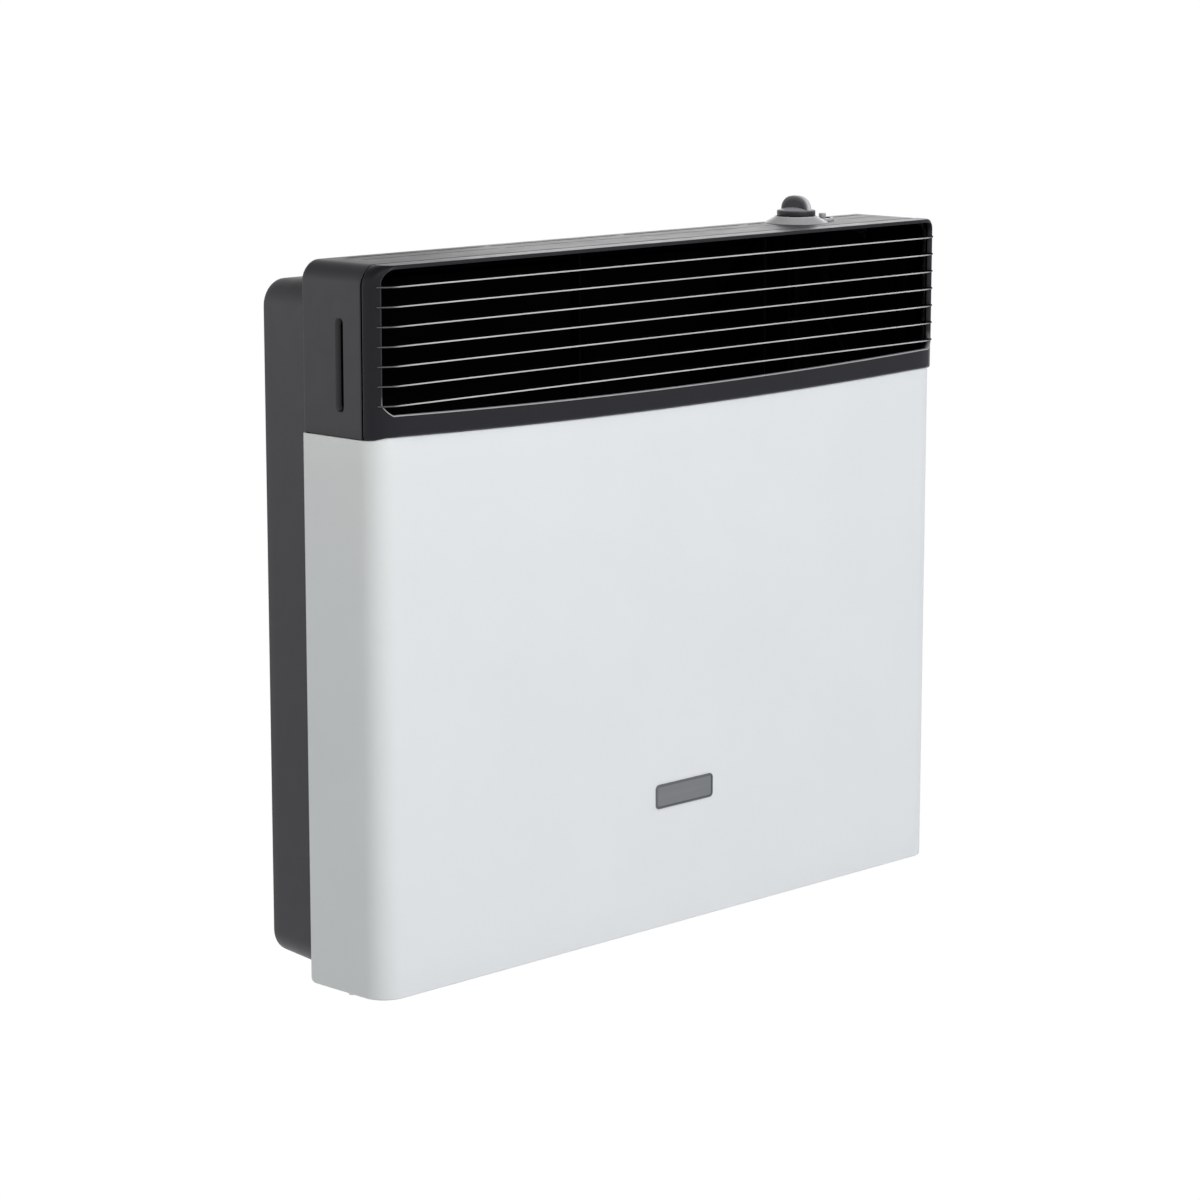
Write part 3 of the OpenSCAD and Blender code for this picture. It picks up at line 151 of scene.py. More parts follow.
class CasingSettings(bpy.types.PropertyGroup):
    """Sizes of the casing's visible sheet edges."""
    sheet: length("Sheet", "Thickness of the casing sheet", 1.2 * MM)
    edge_roll: length("Edge roll", "Outer radius where the sheet is folded over", 1.6 * MM)
    top_roll: length("Top roll", "Outer radius of the white panel's upper edge", 0.5 * MM)
    fold: length("Fold", "Width of the sheet folded inwards", 12 * MM)
    heel: length("Heel", "Radius of the rear bottom corners of the sides", 6 * MM)
    groove_depth: length("Groove depth", "Depth of the groove pressed in each cheek", 5.5 * MM)
    hood_corner: length("Hood corner", "Radius between the cheeks and the top", 17 * MM)
    slot_width: length("Slot width", "Width of the fine slots in the top", 1.2 * MM)
    seam_roll: length("Seam roll", "Radius of the hood's edge at the seam", 0.8 * MM)
    pan_edge: length("Pan edge", "Radius of the rear pan's edge at the wall", 3 * MM)


class GrilleSettings(bpy.types.PropertyGroup):
    """Sizes of the grille frame and its louvres."""
    brow: length("Brow", "Radius of the top front edge", 1.4 * MM)
    lower_rail: length("Lower rail", "Height of the rail under the opening", 16.9 * MM)
    upper_rail: length("Upper rail", "Height of the rail over the opening", 2.4 * MM)
    stile: length("Stile", "Distance from the casing side to the opening", 7.3 * MM)
    opening_corner: length("Opening corner", "Radius of the opening's upper corners", 12 * MM)
    opening_bevel: length("Opening bevel", "Size of the opening's slanted lower corners", 9 * MM)
    lip: length("Lip", "Width of the bright lip round the opening", 0.95 * MM)
    lip_proud: length("Lip height", "Height of the lip above the frame", 0.35 * MM)
    wall: length("Wall", "Depth of the opening's inner wall", 4 * MM)
    low_roll: length("Low roll", "Radius of the frame's lower edge", 2.0 * MM)
    seam_roll: length("Seam roll", "Radius of the frame's edge at the seam", 0.9 * MM)
    seam_gap: length("Seam gap", "Width of the open seam between the frame and the hood", 1.5 * MM)
    blade_depth: length("Blade depth", "Depth of a blade", 12 * MM)
    blade_proud: length("Blade proud", "How far a blade stands in front of the frame", 1.3 * MM)
    blade_turn: bpy.props.FloatProperty(
        name="Blade turn", description="Angle that a blade runs round each corner",
        default=math.radians(49), subtype="ANGLE", unit="ROTATION")


class ControlSettings(bpy.types.PropertyGroup):
    """Sizes of the knob, the bezel, the button and the plate."""
    knob_disc: length("Knob disc", "Thickness of the knob's disc", 5 * MM)
    disc_dome: length("Disc dome", "Rise of the knob's disc towards its middle", 2.2 * MM)
    grip_thickness: length("Grip thickness", "Thickness of the knob's grip", 6 * MM)
    grip_round: length("Grip rounding", "Radius along the grip's rim", 1.8 * MM)
    grip_lowered: length("Grip lowered", "Drop of the grip's top under the knob's room", 2.2 * MM)
    seat_wall: length("Seat wall", "Thickness of the seat's rim round the knob", 1.4 * MM)
    plate_height: length("Plate height", "Thickness of the bezel's plate", 2.5 * MM)
    badge_corner: length("Badge corner", "Corner radius of the bare plate", 4 * MM)
    badge_rim: length("Badge rim", "Width of the plate's raised rim", 1.3 * MM)


class FinishSettings(bpy.types.PropertyGroup):
    """Colours of the finishes that show from outside."""
    white: paint("White", "Enamel of the front panel", 0.785, 0.813, 0.840)
    dark: paint("Dark", "Paint of the hood and the rear pan", 0.030, 0.029, 0.036)
    grille: paint("Grille", "Paint of the grille frame", 0.0125, 0.0126, 0.0170)
    # Painted highlight: the colour of the lip round the opening and of the frame's seam edge
    lip: paint("Lip", "Bright edge round the opening", 0.42, 0.425, 0.44)
    plate: paint("Plate", "Metal of the bare plate", 0.19, 0.20, 0.21)
    bezel: paint("Bezel", "Metal of the bezel", 0.46, 0.462, 0.48)
    knob: paint("Knob", "Plastic of the knob", 0.028, 0.0275, 0.033)
    button: paint("Button", "Plastic of the igniter button", 0.42, 0.42, 0.44)


class StageSettings(bpy.types.PropertyGroup):
    """Camera, light and floor."""
    lens: bpy.props.FloatProperty(name="Lens", description="Focal length on a 36 mm sensor",
                                  default=108.8, subtype="DISTANCE_CAMERA", unit="CAMERA")
    floor_drop: length("Floor drop", "Height of the casing's bottom above the floor", 0.62)
    backdrop: factor("Backdrop", "Brightness that the camera sees", 1.03)
    floor_white: factor("Floor white", "Share of the floor that glows", 0.96, max=1.0)
    ceiling: factor("Ceiling", "Brightness overhead in reflections", 0.2)
    ambient: factor("Ambient", "Light from all round", 0.36)


# ---- Surfaces ----

class Surface:
    """Points, a marked value per point, and faces with a material slot each, from grids."""

    def __init__(self):
        self.points, self.faces, self.marks, self.slots, self.smooth = [], [], [], [], []
        self.count = 0

    def _add(self, points, mark):
        """Keeps the points with their marked values, and gives the number of the first."""
        start = self.count
        marks = np.broadcast_to(np.asarray(mark, float), np.shape(points)[:-1])
        self.points.append(np.asarray(points, float).reshape(-1, 3))
        self.marks.append(marks.reshape(-1))
        self.count += len(self.points[-1])
        return start

    def grid(self, points, closed=False, keep=None, mark=0.0, slot=0):
        """Quads over rows and columns of points. closed joins the last row to the first."""
        rows, columns = points.shape[:2]
        index = self._add(points, mark) + np.arange(rows * columns).reshape(rows, columns)
        if closed:
            index = np.vstack([index, index[:1]])
        quads = np.stack([index[:-1, :-1], index[1:, :-1], index[1:, 1:], index[:-1, 1:]], axis=-1)
        slots = np.broadcast_to(slot, quads.shape[:2])
        if keep is not None:
            quads, slots = quads[keep], slots[keep]
        self.faces.extend(quads.reshape(-1, 4).tolist())
        self.slots.extend(slots.reshape(-1).tolist())
        self.smooth.extend([True] * slots.size)

    def flat(self, faces):
        """Faces of the first finish that stay flat."""
        self.faces.extend(faces)
        self.slots.extend([0] * len(faces))
        self.smooth.extend([False] * len(faces))

    def cap(self, loop):
        """One flat face over a closed loop of points."""
        start = self._add(loop, 0.0)
        self.flat([list(range(start, self.count))])

    def plate(self, loops):
        """Triangles over a flat outline with holes. The first loop is the outline."""
        start = self._add(np.vstack(loops), 0.0)
        triangles = tessellate_polygon([[Vector(p) for p in loop] for loop in loops])
        self.flat([[start + i for i in triangle] for triangle in triangles])

    def object(self, name, smooth_angle=35.0):
        """The gathered faces as one mesh object with its points merged and its faces outwards."""
        mesh = bpy.data.meshes.new(name)
        mesh.from_pydata(np.vstack(self.points).tolist(), [], self.faces)
        layer = mesh.attributes.new("mark", "FLOAT", "POINT")
        layer.data.foreach_set("value", np.concatenate(self.marks))
        mesh.polygons.foreach_set("material_index", self.slots)
        mesh.polygons.foreach_set("use_smooth", self.smooth)
        work = bmesh.new()
        work.from_mesh(mesh)
        bmesh.ops.remove_doubles(work, verts=work.verts, dist=MERGE)
        bmesh.ops.dissolve_degenerate(work, edges=work.edges, dist=MERGE / 2)
        bmesh.ops.recalc_face_normals(work, faces=work.faces)
        work.to_mesh(mesh)
        work.free()
        # Marking the sharp edges clears the flat faces, so they are set again after it
        smooth = np.zeros(len(mesh.polygons), bool)
        mesh.polygons.foreach_get("use_smooth", smooth)
        mesh.set_sharp_from_angle(angle=math.radians(smooth_angle))
        mesh.polygons.foreach_set("use_smooth", smooth)
        piece = bpy.data.objects.new(name, mesh)
        bpy.context.scene.collection.objects.link(piece)
        return piece


def build(surface, name, body, slot, node, sheet=0.0, inside=False, smooth_angle=35.0):
    """The surface as a piece on a body, in a slot's finish, that stands for a CAD node.

    sheet is the thickness that a sheet gets, inwards. A sheet, or a piece with inside, has a
    second
    finish of painted shade: a dull black without gloss.
    """
    piece = surface.object(name, smooth_angle)
    piece.data.materials.append(MATERIALS[slot])
    if sheet or inside:
        piece.data.materials.append(MATERIALS["inside_black"])
    if sheet:
        solid = piece.modifiers.new("sheet", "SOLIDIFY")
        solid.thickness, solid.offset, solid.material_offset = sheet, -1.0, 1
    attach(piece, body)
    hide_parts(node)
    return piece


def steps(*parts):
    """Rising values from (start, end, count) parts, without repeats."""
    values = np.concatenate([np.linspace(a, b, n) for a, b, n in parts])
    return values[np.append(True, np.diff(values) > 1e-7)]


def xyz(x, y, z):
    """Points from three arrays that fit each other's shape."""
    return np.stack(np.broadcast_arrays(x, y, z), axis=-1).astype(float)


def pairs(x, y):
    """Points in a plane from two arrays that fit each other's shape."""
    return np.stack(np.broadcast_arrays(x, y), axis=-1).astype(float)


def mirrored(points):
    """Points in a plane on the other side of its upright middle line, in reversed order."""
    return (points * [-1, 1])[::-1]


def within(values, middle, half):
    """Whether values lie nearer to the middle than half."""
    return np.abs(values - middle) < half


def smooth_step(t):
    """0 below 0, 1 above 1, and 3 t^2 - 2 t^3 between."""
    t = np.clip(t, 0.0, 1.0)
    return t * t * (3 - 2 * t)


def lathe(surface, profile, centre, sides, mark=0.0):
    """The profile's (radius, height) points turned about a vertical axis."""
    angle = np.linspace(0, 2 * math.pi, sides, endpoint=False)[:, None]
    radius, height = np.asarray(profile, float).T
    points = xyz(centre[0] + radius * np.cos(angle), centre[1] + radius * np.sin(angle), height)
    surface.grid(points, closed=True, mark=mark)


def arc(cx, cy, r, start, end, n):
    """Points of a circle's arc in a plane, from one angle in degrees to another."""
    a = np.radians(np.linspace(start, end, n))
    return pairs(cx + r * np.cos(a), cy + r * np.sin(a))


def round_rect(w, h, r, inset):
    """Closed loop of a rectangle with round corners, drawn in by inset."""
    drawn_r = max(r - inset, 0.05 * MM)
    return np.vstack([arc(sx * (w / 2 - r), sy * (h / 2 - r), drawn_r, start, start + 90, 10)
                      for sx, sy, start in ((1, 1, 0), (-1, 1, 90), (-1, -1, 180), (1, -1, 270))])


# ---- Casing outline ----

def front_edge(x):
    """Height of the cap's lower edge over the front at x: a parabola between the two corners."""
    return CAP_Z + CAP_RISE - CAP_DIP * np.maximum(0.0, 1 - (np.asarray(x) / ARC_HALF) ** 2)


def boundary(x):
    """Height of the cap's lower edge at x: the front's parabola, eased to the sides' level."""
    return front_edge(x) - CAP_RISE * (1 - smooth_step((HALF_W - np.abs(x)) / (0.6 * CORNER_R)))


def corner_turn(s):
    """Angle that the front outline has turned round its corner at s."""
    return np.clip((np.abs(s) - ARC_HALF) / CORNER_R, 0, QUARTER)


def on_plan(s, face_y, inset=0.0):
    """Plan point and outward direction at a distance s along the front outline from its middle.

    The outline is a straight line, a quarter circle at each corner, and a straight side.
    """
    away, turn = np.abs(s), corner_turn(s)
    along = np.maximum(away - ARC_HALF - CORNER_R * QUARTER, 0)
    side = np.where(s < 0, -1.0, 1.0)
    x = side * (np.minimum(away, ARC_HALF) + (CORNER_R - inset) * np.sin(turn))
    y = face_y + CORNER_R - (CORNER_R - inset) * np.cos(turn) + along
    return x, y, side * np.sin(turn), -np.cos(turn)


def fold_profile(r):
    """(inset, rise) points of a quarter roll, from the folded flange out to the face."""
    a = np.linspace(0, QUARTER, 6)
    return r * (1 - np.sin(a)), r * (1 - np.cos(a))


def front_run(s_end, at_corner, at_front):
    """A column of distances along the front outline, with their number round the corners."""
    return steps((-s_end, -ARC_HALF, at_corner), (-ARC_HALF, ARC_HALF, at_front),
                 (ARC_HALF, s_end, at_corner))[:, None]


# ---- Pieces ----

def front_panel_surface(casing):
    """The white sheet unrolled along the outline and lifted between its lower and upper edges.

    The upper edge follows the boundary curve, the rear lower corners are quarter circles, and each
    edge rolls inwards over a quarter circle into a flange.
    """
    roll, rear_roll = casing.edge_roll, casing.edge_roll + 0.6 * MM
    corner_end = ARC_HALF + CORNER_R * QUARTER
    side_end = corner_end + (REAR_Y - rear_roll - FACE_Y - CORNER_R)
    heel_start, rolled_end = side_end - 7 * MM, side_end + rear_roll * QUARTER
    half = steps((0, ARC_HALF, 28), (ARC_HALF, corner_end, 17), (corner_end, heel_start, 8),
                 (heel_start, side_end, 9), (side_end, rolled_end, 6),
                 (rolled_end, rolled_end + 3 * MM, 3))
    s = np.concatenate([-half[:0:-1], half])[:, None]
    side = np.where(s < 0, -1.0, 1.0)
    past = np.maximum(np.abs(s) - side_end, 0)
    curl = np.minimum(past / rear_roll, QUARTER)
    tail = np.maximum(past - rear_roll * QUARTER, 0)

    def place(inset):
        """Plan points for a row of insets."""
        x, y, _, _ = on_plan(np.clip(s, -side_end, side_end), FACE_Y, inset)
        reach = rear_roll - inset
        x = np.where(past > 0, side * (HALF_W - rear_roll + reach * np.cos(curl) - tail), x)
        x = np.where((np.abs(s) > corner_end) & (past <= 0), side * (HALF_W - inset), x)
        return x, np.where(past > 0, REAR_Y - rear_roll + reach * np.sin(curl), y)

    flat_x, flat_y = place(0.0)
    heel = np.clip(flat_y - (REAR_Y - casing.heel), 0, casing.heel)
    low = BOTTOM_Z + casing.heel - np.sqrt(np.maximum(casing.heel ** 2 - heel ** 2, 0))
    high = boundary(flat_x)
    inset, rise = fold_profile(roll)
    top_inset, top_rise = fold_profile(casing.top_roll)
    share = np.linspace(0, 1, 17)[1:-1]
    z = np.concatenate([low + rise, low + roll + (high - low - roll - casing.top_roll) * share,
                        high - top_rise[::-1]], axis=1)
    x, y = place(np.concatenate([inset, np.zeros(len(share)), top_inset[::-1]]))
    surface = Surface()
    surface.grid(xyz(x, y, z))
    inner = (np.abs(s) <= side_end - casing.heel)[:, 0]
    for edge, height in ((roll, low), (casing.top_roll, high)):
        fold_x, fold_y = place(np.linspace(casing.fold, edge, 4))
        surface.grid(xyz(fold_x, fold_y, height)[inner])
    return surface


def hood_outline(casing, low):
    """One side of the hood's section, seen from the front: fold, rolled foot, cheek and corner."""
    corner, roll = casing.hood_corner, casing.edge_roll
    inset, rise = fold_profile(roll)
    ends = GROOVE_Z + np.array([-42, -32, 32, 42]) * MM
    heights = steps((low + roll, ends[0], 4), (ends[0], ends[1], 21), (ends[1], ends[2], 9),
                    (ends[2], ends[3], 21), (ends[3], TOP_Z - corner, 5))
    return np.vstack([pairs(np.linspace(HALF_W - casing.fold, HALF_W - roll, 4)[:-1], low),
                      pairs(HALF_W - inset, low + rise), pairs(HALF_W, heights[1:]),
                      arc(HALF_W - corner, TOP_Z - corner, corner, 0, 90, 13)[1:]])


def slot_marks():
    """Ends along X and middles along Y of the fine slots in the top: four columns and two rows."""
    margin, bridge, columns = 34 * MM, 14 * MM, 4
    size = (2 * HALF_W - 2 * margin - (columns - 1) * bridge) / columns
    starts = -HALF_W + margin + np.arange(columns) * (size + bridge)
    return starts, starts + size, HOOD_REAR_Y - np.array([34, 14]) * MM


def groove_share(section, y):
    """Depth of the cheeks' grooves over the section and along y, as a share of the full depth."""
    from_end = np.clip((np.abs(section[:, 1:] - GROOVE_Z) - 32.5 * MM) / (5 * MM), 0, 1)
    full = np.sqrt(1 - from_end ** 2)
    start, finish = GROOVE_Y + (1 - full) * 3 * MM, GROOVE_Y + 9 * MM - (1 - full) * 3 * MM
    depth = smooth_step((y - start + 0.7 * MM) / (1 * MM)) * smooth_step((finish - y) / (6 * MM))
    return depth * np.minimum(full * 1.6, 1) * within(np.abs(section[:, :1]), HALF_W, 1e-6)


def top_openings(section, y, slot_half):
    """Faces of the flat top that stay open: two holes, and the slots away from the controls."""
    starts, ends, rows = slot_marks()
    mid_x = (section[:-1, :1] + section[1:, :1]) / 2
    mid_y = (y[:-1] + y[1:]) / 2
    flat_top = np.minimum(section[:-1, 1:], section[1:, 1:]) > TOP_Z - 1e-6
    in_column = ((mid_x > starts) & (mid_x < ends)).any(axis=1, keepdims=True)
    in_row = within(mid_y[:, None], rows, slot_half).any(axis=1)
    near_knob = (mid_x > KNOB_X - KNOB_ROOM) & (mid_x < IGNITER_X + IGNITER_ROOM) \
        & within(mid_y, KNOB_Y, KNOB_ROOM)
    stem = within(mid_x, KNOB_X, STEM_HALF) & within(mid_y, KNOB_Y, STEM_HALF)
    well = within(mid_x, IGNITER_X, WELL_HALF) & within(mid_y, KNOB_Y, WELL_HALF)
    return flat_top & (in_column & in_row & ~near_knob | stem | well)


def hood_surface(casing):
    """The dark cap's section drawn along Y, with a rolled edge at the seam and at the rear.

    A groove is pressed into each cheek: its depth rises sharply at the front edge, stays level and
    runs out towards the rear, and its ends follow a circle. Slots are left open in the top.
    """
    low, x_in = CAP_Z + JOINT_GAP, HALF_W - casing.hood_corner
    half = hood_outline(casing, low)
    starts, ends, rows = slot_marks()
    openings = [KNOB_X - STEM_HALF, KNOB_X + STEM_HALF, IGNITER_X - WELL_HALF,
                IGNITER_X + WELL_HALF, KNOB_X - KNOB_ROOM, IGNITER_X + IGNITER_ROOM]
    lines = np.concatenate([starts, ends, openings, np.linspace(-x_in, x_in, 30)])
    lines = np.unique(np.round(lines, 6))
    lines = lines[within(lines, 0, x_in - 1e-6)]
    section = np.vstack([half * [-1, 1], pairs(lines, TOP_Z), half[::-1]])
    ahead = np.gradient(section, axis=0)
    ahead /= np.linalg.norm(ahead, axis=1, keepdims=True)
    seam, slot_half = casing.seam_roll, casing.slot_width / 2
    a = np.linspace(0, QUARTER, 5)[:-1]
    rear_inset, rear_rise = fold_profile(casing.edge_roll)
    y_lines = np.concatenate([[SEAM_Y + seam], rows - slot_half, rows + slot_half,
                              np.arange(GROOVE_Y - 1.5 * MM, GROOVE_Y + 10.6 * MM, 0.45 * MM),
                              [KNOB_Y - STEM_HALF, KNOB_Y + STEM_HALF],
                              [KNOB_Y - WELL_HALF, KNOB_Y + WELL_HALF],
                              np.linspace(SEAM_Y + 3 * MM, HOOD_REAR_Y - 4 * MM, 12),
                              [HOOD_REAR_Y - casing.edge_roll]])
    y_lines = np.unique(np.round(y_lines, 6))
    y = np.concatenate([[SEAM_Y], SEAM_Y + seam * (1 - np.cos(a)), y_lines,
                        HOOD_REAR_Y - rear_rise[-2::-1]])
    inset = np.concatenate([[seam + 2.5 * MM], seam * (1 - np.sin(a)), np.zeros(len(y_lines)),
                            rear_inset[-2::-1]])
    depth = groove_share(section, y)
    x = section[:, :1] + ahead[:, 1:] * inset \
        - np.sign(section[:, :1]) * depth * casing.groove_depth
    z = section[:, 1:] - ahead[:, :1] * inset
    surface = Surface()
    # Painted shade: the grooves are marked to darken with their depth, and their deepest part and
    # the two rows at the seam's flank take the dull black of the second finish
    surface.grid(xyz(x, y, z), keep=~top_openings(section, y, slot_half),
                 mark=smooth_step(depth * 1.3),
                 slot=(depth[:-1, :-1] + depth[1:, 1:] > 1.25) | (np.arange(len(y) - 1) < 2))
    surface.grid(hood_rear_fold(casing, low))
    return surface


def hood_rear_fold(casing, low):
    """Flat fold from the hood's rear edge in to the pan's outline."""
    roll, corner, rows = casing.edge_roll, casing.hood_corner, 12
    pan_x, pan_z, pan_r = PAN_HIGH[0] - 0.85 * MM, PAN_HIGH[2] - 0.85 * MM, 26 * MM
    outer = np.vstack([pairs(HALF_W - roll, np.linspace(low + roll, TOP_Z - corner, rows)),
                       arc(HALF_W - corner, TOP_Z - corner, corner - roll, 0, 90, rows),
                       [[0.0, TOP_Z - roll]]])
    inner = np.vstack([pairs(pan_x, np.linspace(low + roll, pan_z - pan_r, rows)),
                       arc(pan_x - pan_r, pan_z - pan_r, pan_r, 0, 90, rows), [[0.0, pan_z]]])
    fold = np.stack([np.vstack([edge, mirrored(edge[:-1])]) for edge in (outer, inner)], axis=1)
    return xyz(fold[..., 0], HOOD_REAR_Y, fold[..., 1])


def brow_radius(s, grille, corner):
    """Radius of the top edge at s: the brow's at the front, the hood corner's at the seam."""
    return grille.brow + (corner - grille.brow) * smooth_step(corner_turn(s) / math.radians(85))


def on_grille(s, w, grille, corner, lift=0.0):
    """Point of the grille frame at s along its outline and w up its face, lifted off its surface.

    Past the start of the top edge, w runs along that edge's quarter circle.
    """
    r = brow_radius(s, grille, corner)
    over = np.clip((w - (TOP_Z - r)) / r, 0, QUARTER)
    x, y, nx, ny = on_plan(s, CAP_Y, r * (1 - np.cos(over)))
    z = np.where(over > 0, TOP_Z - r + r * np.sin(over), w)
    return xyz(x + lift * nx * np.cos(over), y + lift * ny * np.cos(over), z + lift * np.sin(over))


def opening_loop(grille):
    """The opening's outline in (s, w), and the number of points in each stretch of its right half.

    It runs along the bottom to the right, up a softened bevel, the side and the upper corner's
    quarter circle, along the top, and down the left side.
    """
    half = HALF_W - grille.stile
    flat = half - grille.opening_bevel
    r, top, rail = grille.opening_corner, TOP_Z - grille.upper_rail, grille.lower_rail
    low, high = front_edge(flat) + rail, front_edge(half) + rail + grille.opening_bevel
    bottom_x = np.linspace(-flat, flat, 61)
    bottom = pairs(bottom_x, front_edge(bottom_x) + rail)
    t = np.linspace(0, 1, 19)[1:]
    line = pairs(flat + t * (half - flat), low + t * (high - low))
    round_corner = pairs(flat + (half - flat) * np.sin(t * QUARTER),
                         high - (high - low) * np.cos(t * QUARTER))
    bevel = line * 0.6 + round_corner * 0.4
    side = pairs(half, np.linspace(high, top - r, 13)[1:])
    bend = arc(half - r, top - r, r, 0, 90, 19)[1:]
    upper = pairs(np.linspace(half - r, 0, 24)[1:], top)
    right = np.vstack([bevel, side, bend, upper])
    x, w = np.vstack([bottom, right, mirrored(right[:-1])]).T
    turn = np.arcsin(np.clip((np.abs(x) - ARC_HALF) / CORNER_R, 0, 1))
    s = np.where(turn > 0, np.sign(x) * (ARC_HALF + CORNER_R * turn), x)
    return pairs(s, w), [len(stretch) for stretch in (bottom, bevel, side, bend, upper)]


def grille_outer_loop(inner, counts, s_end, grille, corner):
    """Points on the frame's outer edge, one for each of the opening's."""
    _, n_bevel, n_side, n_bend, _ = counts
    bottom_end, bevel_end, _, bend_end, upper_end = np.cumsum(counts)

    def top_w(s):
        r = brow_radius(s, grille, corner)
        return TOP_Z - r + r * QUARTER

    def low_w(s):
        return boundary(on_plan(s, CAP_Y)[0]) + JOINT_GAP + grille.low_roll

    def rising(n, start, end):
        """n shares that are 0 up to the start, 1 from the end, and rise evenly between."""
        return np.clip((np.arange(1, n + 1) / n - start) / (end - start), 0, 1)

    side_low, side_high = inner[bevel_end, 1], TOP_Z - corner - 1 * MM
    first, last = inner[bottom_end - 1, 0], inner[bend_end - 1, 0]
    s = first + (s_end - first) * rising(n_bevel, 0, 0.75)
    bevel = pairs(s, low_w(s) + (side_low - low_w(s_end)) * rising(n_bevel, 0.75, 1))
    side = pairs(s_end, np.linspace(side_low, side_high, n_side + 1)[1:])
    s, climb = s_end + (last - s_end) * rising(n_bend, 0.5, 1), rising(n_bend, 0, 0.5)
    bend = pairs(s, np.where(climb < 1, side_high + (top_w(s_end) - side_high) * climb, top_w(s)))
    bottom, upper = inner[:bottom_end, 0], inner[bend_end:upper_end, 0]
    right = np.vstack([bevel, side, bend, pairs(upper, top_w(upper))])
    return np.vstack([pairs(bottom, low_w(bottom)), right, mirrored(right[:-1])])


def grille_surface(grille, corner):
    """The dark frame as a ring between the opening and its outer edge, wrapped round both corners.

    Each strip between the two edges is a straight line in the unrolled face. The lip round the
    opening is a half round bead that turns into the inner wall. The top runs flat to the seam.
    """
    back_y = SEAM_Y - grille.seam_gap - grille.seam_roll
    s_end = ARC_HALF + CORNER_R * math.acos((CORNER_R - (back_y - CAP_Y)) / CORNER_R)
    inner, counts = opening_loop(grille)
    outer = grille_outer_loop(inner, counts, s_end, grille, corner)
    surface = Surface()
    share = np.linspace(0, 1, 15)[:, None]
    ring = outer[:, None] * (1 - share) + inner[:, None] * share
    surface.grid(on_grille(ring[..., 0], ring[..., 1], grille, corner), closed=True)
    add_lip(surface, inner, counts, grille, corner)
    s = front_run(s_end, 27, 61)
    x, y, nx, ny = on_plan(s, CAP_Y)
    inset, rise = fold_profile(grille.low_roll)
    inset = np.concatenate([[9 * MM, 3 * MM], inset])
    rise = np.concatenate([[0, 0], rise])
    surface.grid(xyz(x - nx * inset, y - ny * inset, boundary(x) + JOINT_GAP + rise))
    r = brow_radius(s, grille, corner)
    edge = on_grille(s, TOP_Z - r + r * QUARTER, grille, corner)[:, 0]
    t = np.linspace(0, 1, 6)
    surface.grid(xyz(edge[:, :1], edge[:, 1:2] * (1 - t) + back_y * t, TOP_Z))
    add_seam_roll(surface, s_end, edge, back_y, grille, corner)
    return surface


def add_lip(surface, inner, counts, grille, corner):
    """Bead and inner wall along the opening's outline, marked for a painted highlight that is
    brightest below and dull above.
    """
    n_bottom, n_bevel, n_side, n_bend, n_upper = counts

    def round_loop(*stretches):
        """A column of one value per point: 1 along the bottom, then the same up both sides."""
        right = np.concatenate(stretches)
        return np.concatenate([np.ones(n_bottom), right, right[-2::-1]])[:, None]

    # Painted highlight on the lip: full along the bottom, less up the bevel, faint up the sides
    # and over the top
    bright = round_loop(np.linspace(0.95, 0.6, n_bevel), np.full(n_side, 0.06),
                        np.linspace(0.06, 0.04, n_bend), np.full(n_upper, 0.02))
    width = round_loop(np.ones(n_bevel + n_side), np.linspace(1, 0.55, n_bend),
                       np.full(n_upper, 0.55))
    ahead = np.roll(inner, -1, axis=0) - np.roll(inner, 1, axis=0)
    ahead /= np.linalg.norm(ahead, axis=1, keepdims=True)
    a = np.linspace(0, math.pi, 9)
    toward = width * np.append(grille.lip * (1 - np.cos(a)) / 2, [grille.lip + 0.1 * MM] * 2)
    lift = np.append(grille.lip_proud * np.sin(a), [-0.6 * MM, -grille.wall])
    s, w = inner[:, :1] - ahead[:, 1:] * toward, inner[:, 1:] + ahead[:, :1] * toward
    marks = np.concatenate([[0.0], np.ones(8), [0.9, 0.0]])
    surface.grid(on_grille(s, w, grille, corner, lift), closed=True, mark=bright * marks)


def add_seam_roll(surface, s_end, edge, back_y, grille, corner):
    """Edge of the frame rolled inwards at the seam: up one side, over the top and down again."""
    roll, bend_z = grille.seam_roll, TOP_Z - corner
    w = steps((CAP_Z + JOINT_GAP + grille.low_roll, bend_z, 14),
              (bend_z, bend_z + corner * QUARTER, 14))
    over = np.clip((w - bend_z) / corner, 0, QUARTER)
    right = on_grille(s_end, w, grille, corner)[:, ::2]
    right_out = pairs(np.cos(over), np.sin(over))
    top = edge[-2:0:-1, ::2]
    path = np.vstack([right, top, mirrored(right)])
    out = np.vstack([right_out, np.tile([0.0, 1.0], (len(top), 1)), mirrored(right_out)])
    a = np.linspace(0, QUARTER, 6)
    inset = np.append(roll * (1 - np.cos(a)), roll + 3 * MM)
    # The roll is marked for a faint painted highlight along the seam
    surface.grid(xyz(path[:, :1] - out[:, :1] * inset, back_y + np.append(roll * np.sin(a), roll),
                     path[:, 1:] - out[:, 1:] * inset), mark=[0.25] * 6 + [0.0])


